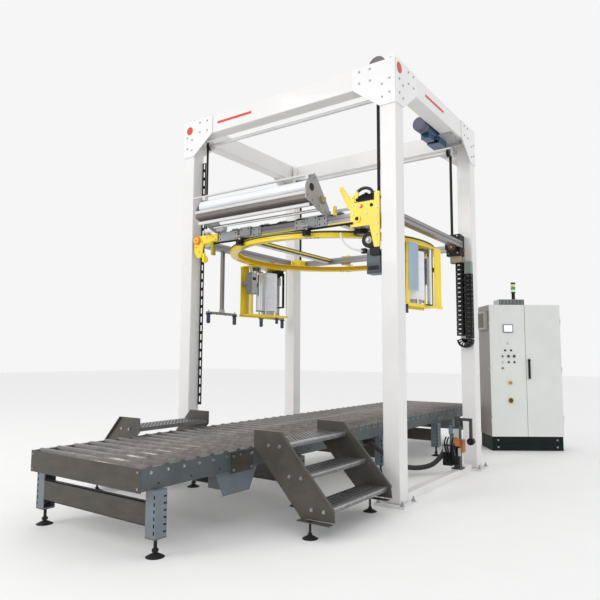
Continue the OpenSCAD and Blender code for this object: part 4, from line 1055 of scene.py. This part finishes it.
class BuildLiftFrame(bpy.types.Operator):
    """Makes the lifting frame, its brackets, guide wheels, rails and gripper"""
    bl_idname = "wrapper.lift_frame"
    bl_label = "Lift frame"

    def execute(self, context):
        beams = Shape()
        mid = (LIFT_Z + LIFT_TOP) / 2
        for sy in (-1, 1):
            slotted_profile(beams, (-CROSS_X, sy * 1.075, mid), (CROSS_X, sy * 1.075, mid), 0.07, 0.08)
        for sx in (-1, 1):
            slotted_profile(beams, (sx * 1.3, -0.96, mid), (sx * 1.3, 0.88, mid), 0.09, 0.08)
        beams.place("lift_profiles", [profile()], "lift", ["lift_beams"], "profile_alu")
        dress("lift_brackets", [yellow(), dark(), light_grey(), steel()],
              lambda c: 1 if c.x > 1.1 and c.y > 0.875 else 2 if abs(c.x) < 0.53 and c.y < -1.1 and c.z > 2.64
              else 3 if abs(abs(c.x) - 0.45) < 0.011 and c.z < 2.646 else 0)
        rails = Shape()
        for s in (-1, 1):
            rails.blocks((s * 0.668, s * 0.732, -CROSS_Y, CROSS_Y, 2.686, 2.742, 0))
            for off in (-0.034, 0.031):
                rails.blocks((s * (0.7 + off), s * (0.7 + off + 0.003), -CROSS_Y, CROSS_Y, 2.708, 2.726, 1))
            rails.blocks((s * 0.685, s * 0.715, -CROSS_Y, CROSS_Y, 2.742, 2.746, 2),
                         (s * 0.67, s * 0.73, -CROSS_Y, CROSS_Y, 2.68, 2.686, 2))
        rails.place("sheet_tracks", [finish("track_dark", (0.03, 0.03, 0.035), 0.4, mottle=0.2), yellow(),
                                     white_plastic()], "lift", ["sheet_rails"], "bracket_yellow")
        green = finish("gripper_green", (0.025, 0.06, 0.055), 0.4, mottle=0.2)
        dress("sheet_gripper", [green])
        jaws = Shape()
        for x in (-0.5, -0.25, 0.0, 0.25, 0.5):
            jaws.blocks((x - 0.03, x + 0.03, -0.99, -0.95, 2.7965, 2.815, 1))
            jaws.rod((x, -1.06, 2.78), (x, -1.02, 2.78), 0.03, sides=18)
        for s in (-1, 1):
            jaws.blocks((s * 0.66, s * 0.74, -1.01, -0.93, 2.7865, 2.81, 1))
        jaws.place("gripper_jaws", [steel(), light_grey()], "gripper", edge=0.0015)
        for body, node_name, s in (("left_wheel", "guide_wheel_left", -1),
                                   ("right_wheel", "guide_wheel_right", 1)):
            wheel = Shape()
            x, z = s * 1.212, 2.602
            wheel.lathe([(0.01205, 0), (0.0445, 0), (0.0475, 0.003), (0.0475, 0.027), (0.0445, 0.03),
                         (0.01205, 0.03)], (x, -1.07, z), (0, -1, 0), 48)
            wheel.washer(0.014, 0.03, 0.0015, (x, -1.1, z), (0, -1, 0), 40, f=1)
            wheel.place(node_name + "_tyre", [orange(), steel()], body, [node_name], "wheel_orange")
        parts = Shape()
        # wheel in front of the left bracket, with its axle
        parts.lathe([(0.0, 0), (0.05, 0), (0.05, 0.022), (0.043, 0.026), (0.0, 0.026)],
                    (-1.18, BRACKET_FACE, 2.7), (0, -1, 0), 44, f=2)
        parts.washer(0, 0.03, 0.004, (-1.18, -1.154, 2.7), (0, -1, 0), 36, f=0)
        parts.washer(0, 0.016, 0.006, (-1.18, -1.158, 2.7), (0, -1, 0), 24, f=2)
        parts.washer(0, 0.041, 0.02, (-1.083, -1.105, 2.47), (0, 1, 0), 40, f=0)
        parts.blocks((-1.1, -1.066, BRACKET_FACE, -1.105, 2.44, 2.54, 0),
                     (-1.0, -0.97, -1.18, -1.11, 2.746, 2.765, 4),
                     (-0.77, -0.74, -1.18, -1.11, 2.746, 2.765, 4))
        parts.rods(((-1.02, -1.155, 2.79), (-0.72, -1.155, 2.79), 0.05, 28, 3),
                   ((-1.03, -1.155, 2.79), (-1.02, -1.155, 2.79), 0.058, 28, 4),
                   ((-0.72, -1.155, 2.79), (-0.71, -1.155, 2.79), 0.058, 28, 4))
        for x0, x1 in ((-0.84, -0.56), (-0.34, -0.22), (0.24, 0.37), (0.53, 0.64)):
            parts.blocks((x0, x1, -1.122, -1.11, 2.652, 2.752, 4))
        parts.blocks((-0.93, -0.9, -1.16, -1.11, 2.5, 2.66, 5), (-1.1, 1.1, -1.112, -1.06, 2.652, 2.666, 0))
        parts.rod((-0.95, -1.135, 2.635), (0.95, -1.135, 2.635), 0.022, sides=16, f=1)
        # right bracket: knob, bores shown as dark discs of painted shade, arm, hose manifold and the wheel
        # below
        parts.blocks((0.975, 1.17, -1.118, -1.06, 2.836, 2.875, 1))
        parts.rods(((1.0, BRACKET_FACE, 2.672), (1.0, -1.14, 2.672), 0.075, 40),
                   ((1.0, -1.14, 2.672), (1.0, -1.142, 2.672), 0.04, 30, 1),
                   ((1.155, BRACKET_FACE, 2.79), (1.155, -1.131, 2.79), 0.036, 32, 1),
                   ((1.04, BRACKET_FACE, 2.795), (1.04, -1.15, 2.795), 0.04, 32, 2, 0.034),
                   ((1.04, -1.15, 2.795), (1.04, -1.156, 2.795), 0.024, 24, 3))
        for k in range(5):
            parts.rod((0.995 + 0.04 * k, -1.125, 2.862), (0.995 + 0.04 * k, -1.05, 2.888), 0.034, sides=16,
                      f=1)
        for k in range(6):
            x = 0.985 + 0.032 * k
            parts.sweep(smooth([(x, -1.1, 2.8), (x + 0.01, -1.098, 2.87),
                                (x + 0.02, -1.09, 2.9 + 0.012 * (k % 3)), (x + 0.035, -1.04, 2.915),
                                (x + 0.05, -1.0, 2.88)], 6), 0.022, 10, f=1)
        parts.blocks((0.965, 1.0, -1.12, -1.1, 2.846, 2.95, 0))
        parts.plate([(0.92, BRACKET_FACE, 2.88), (0.92, BRACKET_FACE, 2.77), (0.885, BRACKET_FACE, 2.8),
                     (0.8, BRACKET_FACE, 2.985), (0.8, BRACKET_FACE, 3.02), (0.83, BRACKET_FACE, 3.02)],
                    (0, 0.016, 0), f=0)
        parts.blocks((0.72, 0.75, BRACKET_FACE, -1.1, 2.746, 2.84, 0),
                     (0.75, 0.92, -1.126, -1.11, 2.775, 2.8, 4), (1.13, 1.236, -1.124, -1.112, 2.3, 2.376, 1))
        parts.rods(((1.11, -1.105, LOW_WHEEL_Z), (1.11, -1.035, LOW_WHEEL_Z), 0.15, 44, 1),
                   ((1.11, -1.109, LOW_WHEEL_Z), (1.11, -1.105, LOW_WHEEL_Z), 0.07, 36, 4),
                   ((1.11, BRACKET_FACE, LOW_WHEEL_Z), (1.11, -1.02, LOW_WHEEL_Z), 0.024, 20, 6))
        # rear right bracket
        parts.blocks((1.165, 1.338, 0.8, 0.879, 2.565, 2.83, 1), (1.185, 1.3, 0.79, 0.8, 2.6, 2.78, 1),
                     (1.2, 1.33, 0.83, 0.878, 2.49, 2.565, 8))
        parts.rods(((1.245, 0.79, 2.69), (1.245, 0.782, 2.69), 0.11, 36, 7),
                   ((1.245, 0.782, 2.69), (1.245, 0.776, 2.69), 0.05, 28, 6),
                   ((1.335, 0.92, 2.64), (1.345, 0.92, 2.64), 0.06, 36, 7))
        for dx, dz in ((-0.06, 0.21), (0.055, 0.21), (-0.06, 0.0), (0.055, 0.0)):
            parts.rod((1.25 + dx, 0.8, 2.6 + dz), (1.25 + dx, 0.796, 2.6 + dz), 0.016, sides=16, f=3)
        parts.blocks((1.23, 1.335, 0.872, 0.878, 2.487, 2.545, 8),
                     (1.335, 1.34, 0.885, 0.955, 2.487, 2.56, 8))
        parts.place("bracket_parts", [yellow(), dark(), orange(), white_plastic(), light_grey(),
                                      finish("hanger_olive", (0.42, 0.4, 0.03), 0.45), steel(),
                                      finish("disc_rust", (0.16, 0.035, 0.025), 0.5),
                                      finish("corner_tan", (0.36, 0.3, 0.2), 0.5)], "lift", edge=0.0015)
        bolts("bracket_bolts",
              [((x, BRACKET_FACE, z), FACE["-y"]) for x, z in ((0.942, 2.89), (1.212, 2.89), (0.95, 2.81),
                   (0.95, 2.72), (1.1, 2.81), (1.1, 2.72), (1.21, 2.76), (1.21, 2.68), (1.21, 2.6),
                   (1.21, 2.5), (1.21, 2.41), (-1.2, 2.62), (-1.15, 2.56), (-0.93, 2.72), (-1.03, 2.72),
                   (-0.89, 2.68), (-1.1, 2.68))], "lift")
        drilled("plate_holes",
                [((x, -1.122, z), FACE["-y"]) for x0, x1 in ((-0.84, -0.56), (-0.34, -0.22), (0.24, 0.37),
                     (0.53, 0.64)) for x in (x0 + 0.025, x1 - 0.025) for z in (2.675, 2.73)]
                + [((s * 0.45 + dx, -1.12, z), FACE["-y"]) for s in (-1, 1) for dx in (-0.05, 0.05)
                   for z in (2.67, 2.752)], "lift", 0.016, 0.0008)
        return {"FINISHED"}


class BuildSheetUnit(bpy.types.Operator):
    """Makes the top sheet unit and its roll"""
    bl_idname = "wrapper.sheet_unit"
    bl_label = "Top sheet unit"

    def execute(self, context):
        trough = finish("trough_grey", (0.2, 0.18, 0.17), 0.42, 0.3, mottle=0.12, patch=5)
        cheek = finish("cheek_grey", (0.36, 0.355, 0.36), 0.38, 0.4, mottle=0.1)
        pale = finish("pale_bar", (0.62, 0.62, 0.6), 0.4, mottle=0.05)
        dress("sheet_unit_frame", [cheek, trough, pale, steel()],
              lambda c: 2 if c.z > 3.11 and c.y > SHEET_Y - 0.011 and c.y < SHEET_Y + 0.021 else 3
              if math.hypot(c.y - SHEET_Y, c.z - SHEET_Z) < 0.0351 and abs(c.x - SHEET_X) < 0.739 else 1
              if c.z < 2.926 and abs(c.x - SHEET_X) < 0.739 and c.y < -1.24 else 0)
        roll = Shape()
        roll.lathe([(0.038, 0), (0.071, 0), (0.0725, 0.002), (0.0725, 1.438), (0.071, 1.44), (0.038, 1.44)],
                   (SHEET_X - 0.72, SHEET_Y, SHEET_Z), (1, 0, 0), 72)
        for x in (SHEET_X - 0.7215, SHEET_X + 0.72):
            roll.washer(0.0375, 0.046, 0.0015, (x, SHEET_Y, SHEET_Z), (1, 0, 0), 40, f=1)
        roll.place("sheet_film_roll", [film(), card()], "top_roll", ["sheet_roll"], "film_white")
        extras = Shape()
        left, right = SHEET_X - 0.74, SHEET_X + 0.74
        extras.blocks((left, right, -1.506, -1.5, 2.898, 2.928, 2))
        extras.rods(((left, -1.44, 2.805), (right, -1.44, 2.805), 0.036, 28),
                    ((left, -1.225, 2.8), (right, -1.225, 2.8), 0.032, 24, 1))
        for z in (2.858, 2.872, 2.886):
            extras.blocks((left, right, -1.503, -1.5, z, z + 0.005, 5))
        for x in (left - 0.012, right + 0.008):
            extras.rod((x, SHEET_Y, SHEET_Z), (x + 0.004, SHEET_Y, SHEET_Z), 0.076, sides=36, f=3)
        extras.blocks((right + 0.008, right + 0.03, -1.24, -1.17, 2.87, 2.93, 4))
        for x in (left + 0.02, right - 0.06):
            extras.blocks((x, x + 0.04, -1.42, -1.37, 3.07, 3.111, 2))
        extras.place("sheet_unit_parts",
                     [white_plastic(), polished(), pale, dark(), finish("tan_piece", (0.4, 0.3, 0.16), 0.5),
                      trough], "lift", edge=0.0015)
        long, middle = right - left, (left + right) / 2
        ribs = [((middle, -1.48 + 0.022 * k, 2.85 - 0.0037 * k), (-0.168, 0, 0), (long, 0.006, 0.007))
                for k in range(5)]
        ribs += [((middle, -1.365 + 0.025 * k, 2.8345 + 0.0019 * k), (0.077, 0, 0), (long, 0.006, 0.007))
                 for k in range(5)]
        repeat("trough_ribs", bar_tree(), ribs, "lift", trough)
        bolts("cheek_bolts", [((x, y, z), FACE[f]) for x, f in ((left - 0.008, "-x"), (right + 0.008, "+x"))
                              for y, z in ((-1.46, 2.9), (-1.38, 2.86), (-1.26, 2.83), (-1.14, 2.79),
                                           (-1.35, 3.09))], "lift", 0.016)
        return {"FINISHED"}


class BuildRing(bpy.types.Operator):
    """Makes the wrapping ring with its joints, rollers and drive"""
    bl_idname = "wrapper.ring"
    bl_label = "Ring and its drive"

    def execute(self, context):
        band = finish("drive_band", (0.035, 0.085, 0.03), 0.5, mottle=0.15)
        hoop = Shape()
        hoop.lathe([(1.15, 0), (1.24, 0), (1.24, 0.027), (1.248, 0.027), (1.248, 0.037), (1.24, 0.037),
                    (1.24, 0.064), (1.15, 0.064), (1.15, 0.058), (1.234, 0.058), (1.234, 0.006),
                    (1.15, 0.006)], (0, 0, RING_Z), sides=180)
        hoop.lathe([(1.2398, 0.042), (1.2412, 0.042), (1.2412, 0.06), (1.2398, 0.06)], (0, 0, RING_Z),
                   sides=180, f=1)
        hoop.place("hoop", [yellow(), band], "ring", ["ring"], "ring_yellow")
        plates, heads = [], []
        for k in range(8):
            t = math.radians(22.5 + 45 * k)
            plates.append(((1.2335 * math.cos(t), 1.2335 * math.sin(t), RING_Z + 0.032), (0, 0, t),
                           (0.006, 0.16, 0.046)))
            for dt in (-0.05, -0.02, 0.02, 0.05):
                heads.append(((1.195 * math.cos(t + dt), 1.195 * math.sin(t + dt), RING_Z), DOWN))
        repeat("hoop_joints", bar_tree(), plates, "ring", yellow())
        bolts("hoop_bolts", heads, "ring", 0.015)
        for name in ("ring_roller_left", "ring_roller_right"):
            dress(name, [dark()])
        dress("ring_drive_wheel", [rubber(), steel()],
              lambda c: 1 if math.hypot(c.x - DRIVE_XY, c.y + DRIVE_XY) < 0.05 else 0)
        teal = finish("gearbox_teal", colours().teal, 0.4, mottle=0.12, clear=0.2)
        dress("ring_drive_unit", [grey(), teal, dark(), steel()],
              lambda c: 1 if c.z < 2.3361 and c.x > 1.079 else 2 if c.x < 1.0801 and c.z < 2.4 else 3
              if math.hypot(c.x - DRIVE_XY, c.y + DRIVE_XY) < 0.016 else 0)
        drive = Shape()
        drive.blocks((1.085, 1.225, -1.096, -1.09, 2.14, 2.32, 1), (1.1, 1.21, -1.1, -1.096, 2.16, 2.2, 2),
                     (1.083, 1.2, -1.085, -0.97, 2.336, 2.37, 0))
        drive.sweep(smooth([(1.02, -1.05, 2.36), (0.9, -1.09, 2.4), (0.82, -1.11, 2.48), (0.8, -1.12, 2.56)],
                           6), 0.02, 10, f=3)
        drive.blocks((1.0, 1.05, -1.06, -1.02, 2.34, 2.39, 2))
        drive.place("drive_parts", [grey(), teal, dark(), white_plastic()], "lift", edge=0.002)
        return {"FINISHED"}


class BuildFilmUnits(bpy.types.Operator):
    """Makes the two film units with their rolls, rollers and dancer arms"""
    bl_idname = "wrapper.film_units"
    bl_label = "Film units"

    def execute(self, context):
        cell = finish("cell_blue", (0.03, 0.05, 0.09), 0.35, mottle=0.15)
        blue = finish("cover_sheet", colours().cover, 0.35, 0.1, mottle=0.05, along=(6, 6, 0.6))
        back_a, back_b = UNIT_A.inverted(), UNIT_B.inverted()

        def local(c):
            return (back_a if c.x < 0 else back_b) @ c

        def frame_part(c):
            p = local(c)
            if math.hypot(p.x + 0.01, p.y + 0.06) < 0.0905 and BASE_Z + 0.0101 < p.z < PLATE_Z - 0.02:
                return 1
            if math.hypot(p.x - 0.04, p.y - 0.215) < 0.0355 and BASE_Z + 0.0101 < p.z < PLATE_Z - 0.0101:
                return 2
            rod = math.hypot(p.x - 0.06, p.y + 0.32) < 0.0085 and p.z > BASE_Z + 0.0101
            if rod or any(math.hypot(p.x - x, p.y - y) < 0.0105
                          for x, y in ((-0.045, 0.135), (-0.02, -0.26))):
                return 1
            return 3 if p.z < BASE_Z - 0.0001 else 0

        dress("film_unit_frames", [yellow(), steel(), polished(), cell], frame_part)
        dress("film_unit_covers", [blue, grey()], lambda c: 0 if local(c).x > 0.1099 else 1)
        for letter, unit in (("a", UNIT_A), ("b", UNIT_B)):
            roll = Shape(unit)
            roll.lathe([(0.046, 0), (0.1235, 0), (0.125, 0.002), (0.125, 0.518), (0.1235, 0.52),
                        (0.046, 0.52)], (-0.01, -0.06, ROLL_Z), sides=64)
            roll.lathe([(0.038, -0.0), (0.0459, -0.0), (0.0459, 0.52), (0.038, 0.52)], (-0.01, -0.06, ROLL_Z),
                       sides=48, f=1)
            roll.place(f"film_reel_{letter}", [film(), card()], f"roll_{letter}", [f"film_roll_{letter}"],
                       "film_white")
            dress(f"stretch_roller_{letter}", [polished()])
            dress(f"dancer_arm_{letter}", [dark()])
            caps = Shape(unit)
            for z in (ROLL_Z - 0.009, ROLL_Z + 0.516):
                caps.washer(0.0455, 0.0462, 0.012, (-0.045, 0.135, z), sides=48)
            caps.place(f"roller_bands_{letter}", [dark()], f"stretch_{letter}")
            parts = Shape(unit)
            # stretch gearbox cover with its cut corner, window and hinge
            parts.plate([(-0.1195, 0.258, 2.19), (-0.1195, 0.29, 2.149), (-0.1195, 0.342, 2.149),
                         (-0.1195, 0.342, 2.433), (-0.1195, 0.258, 2.433)], (-0.004, 0, 0), f=0)
            parts.blocks((-0.1245, -0.1235, 0.27, 0.33, 2.33, 2.37, 1),
                         (-0.06, 0.06, -0.31, -0.2, 2.45, 2.521, 1))
            parts.washer(0.018, 0.036, 0.02, (0.0, -0.255, 2.428), (0, 0, 1), 32, f=1)
            parts.blocks((-0.112, -0.09, 0.32, 0.345, BASE_Z + 0.01, 2.146, 3),
                         (0.085, 0.11, -0.34, -0.315, BASE_Z + 0.01, PLATE_Z - 0.01, 3),
                         (-0.12, -0.116, -0.34, 0.345, BASE_Z - 0.02, BASE_Z, 3),
                         (0.116, 0.12, -0.34, 0.345, BASE_Z - 0.02, BASE_Z, 3))
            parts.rods(((-0.085, 0.05, BASE_Z + 0.01), (-0.085, 0.05, PLATE_Z - 0.01), 0.018, 16, 2),
                       ((0.085, -0.12, BASE_Z + 0.01), (0.085, -0.12, PLATE_Z - 0.01), 0.018, 16, 2),
                       ((-0.105, -0.328, BASE_Z + 0.01), (-0.105, -0.328, PLATE_Z - 0.01), 0.008, 10, 2))
            for y in (-0.02, 0.05):
                parts.blocks((0.12, 0.15, y, y + 0.012, BASE_Z + 0.002, BASE_Z + 0.014, 1))
            parts.blocks((0.14, 0.152, -0.02, 0.062, BASE_Z + 0.002, BASE_Z + 0.014, 1),
                         (-0.03, 0.03, 0.1, 0.19, PLATE_Z - 0.055, PLATE_Z - 0.01, 4),
                         (0.02, 0.09, -0.335, -0.27, BASE_Z + 0.45, BASE_Z + 0.56, 4))
            parts.place(f"film_unit_parts_{letter}", [light_grey(), dark(), polished(), yellow(), grey()],
                        "ring", edge=0.0015)
            repeat(f"cover_folds_{letter}", bar_tree(),
                   on(unit, [((0.1195, -0.32 + 0.0225 * k, 2.2785), UP, (0.003, 0.006, 0.49))
                             for k in range(8)]), "ring", blue)
            bolts(f"film_unit_bolts_{letter}",
                  on(unit, [((x, y, PLATE_Z - 0.01), DOWN) for x in (-0.09, 0.09)
                            for y in (-0.3, -0.1, 0.1, 0.3)]
                     + [((x, y, BASE_Z), DOWN) for x in (-0.09, 0.09) for y in (-0.28, 0.0, 0.28)]
                     + [((-0.1235, y, z), FACE["-x"]) for y in (0.268, 0.332) for z in (2.23, 2.42)]), "ring",
                  0.012)
        return {"FINISHED"}


class BuildMasts(bpy.types.Operator):
    """Makes the sensor masts with their bars, clips and photocells"""
    bl_idname = "wrapper.masts"
    bl_label = "Sensor masts"

    def execute(self, context):
        tan = finish("mast_lower", (0.22, 0.2, 0.19), 0.45, mottle=0.08)
        cell = finish("cell_blue", (0.03, 0.05, 0.09), 0.35, mottle=0.15)
        dress("sensor_masts", [dark(), tan, cell], lambda c: 2 if c.z < 1.8601 else 1 if c.z < 2.45 else 0)
        parts, x = Shape(), -1.379
        for y in (-0.47, 0.585):
            for e in (-1, 1):
                yc = y + e * 0.245
                parts.blocks((x - 0.024, x + 0.024, yc - 0.028, yc + 0.028, 1.852, 1.868, 0))
                parts.rods(((x, yc, 1.742), (x, yc, 1.751), 0.034),
                           ((x, yc, 1.89), (x, yc, 1.915), 0.016, 14, 1))
            for off in (-0.16, -0.08, 0.08, 0.16):
                parts.blocks((x - 0.022, x + 0.022, y + off - 0.007, y + off + 0.007, 1.857, 1.893, 2))
            parts.blocks((x - 0.026, x + 0.026, y - 0.026, y + 0.026, 1.885, 1.93, 2))
        parts.place("mast_parts", [dark(), steel(), light_grey()], "lift", edge=0.001)
        return {"FINISHED"}


# ---- Panel and start -----------------------------------------------------

STEPS = (BuildStage, BuildHoses, BuildPortal, BuildLiftDrive, BuildConveyor, BuildSteps, BuildClamp,
         BuildCabinet, BuildLiftFrame, BuildSheetUnit, BuildRing, BuildFilmUnits, BuildMasts)


class WrapperPanel(bpy.types.Panel):
    """Lists the steps that build the wrapper, with its sizes and colours"""
    bl_idname = "VIEW3D_PT_ring_wrapper"
    bl_label = "Ring pallet wrapper"
    bl_space_type = "VIEW_3D"
    bl_region_type = "UI"
    bl_category = "Wrapper"

    def draw(self, context):
        column = self.layout.column()
        for step in STEPS:
            column.operator(step.bl_idname)
        for group in (context.scene.wrapper_sizes, context.scene.wrapper_colours):
            for key in group.__annotations__:
                column.prop(group, key)


CLASSES = (WrapperColours, WrapperSizes, *STEPS, WrapperPanel)


def register():
    for cls in CLASSES:
        bpy.utils.register_class(cls)
    bpy.types.Scene.wrapper_colours = PointerProperty(type=WrapperColours)
    bpy.types.Scene.wrapper_sizes = PointerProperty(type=WrapperSizes)


def unregister():
    del bpy.types.Scene.wrapper_sizes
    del bpy.types.Scene.wrapper_colours
    for cls in reversed(CLASSES):
        bpy.utils.unregister_class(cls)


def main():
    register()
    for step in STEPS:
        group, name = step.bl_idname.split(".")
        getattr(getattr(bpy.ops, group), name)()


if __name__ == "__main__":
    main()
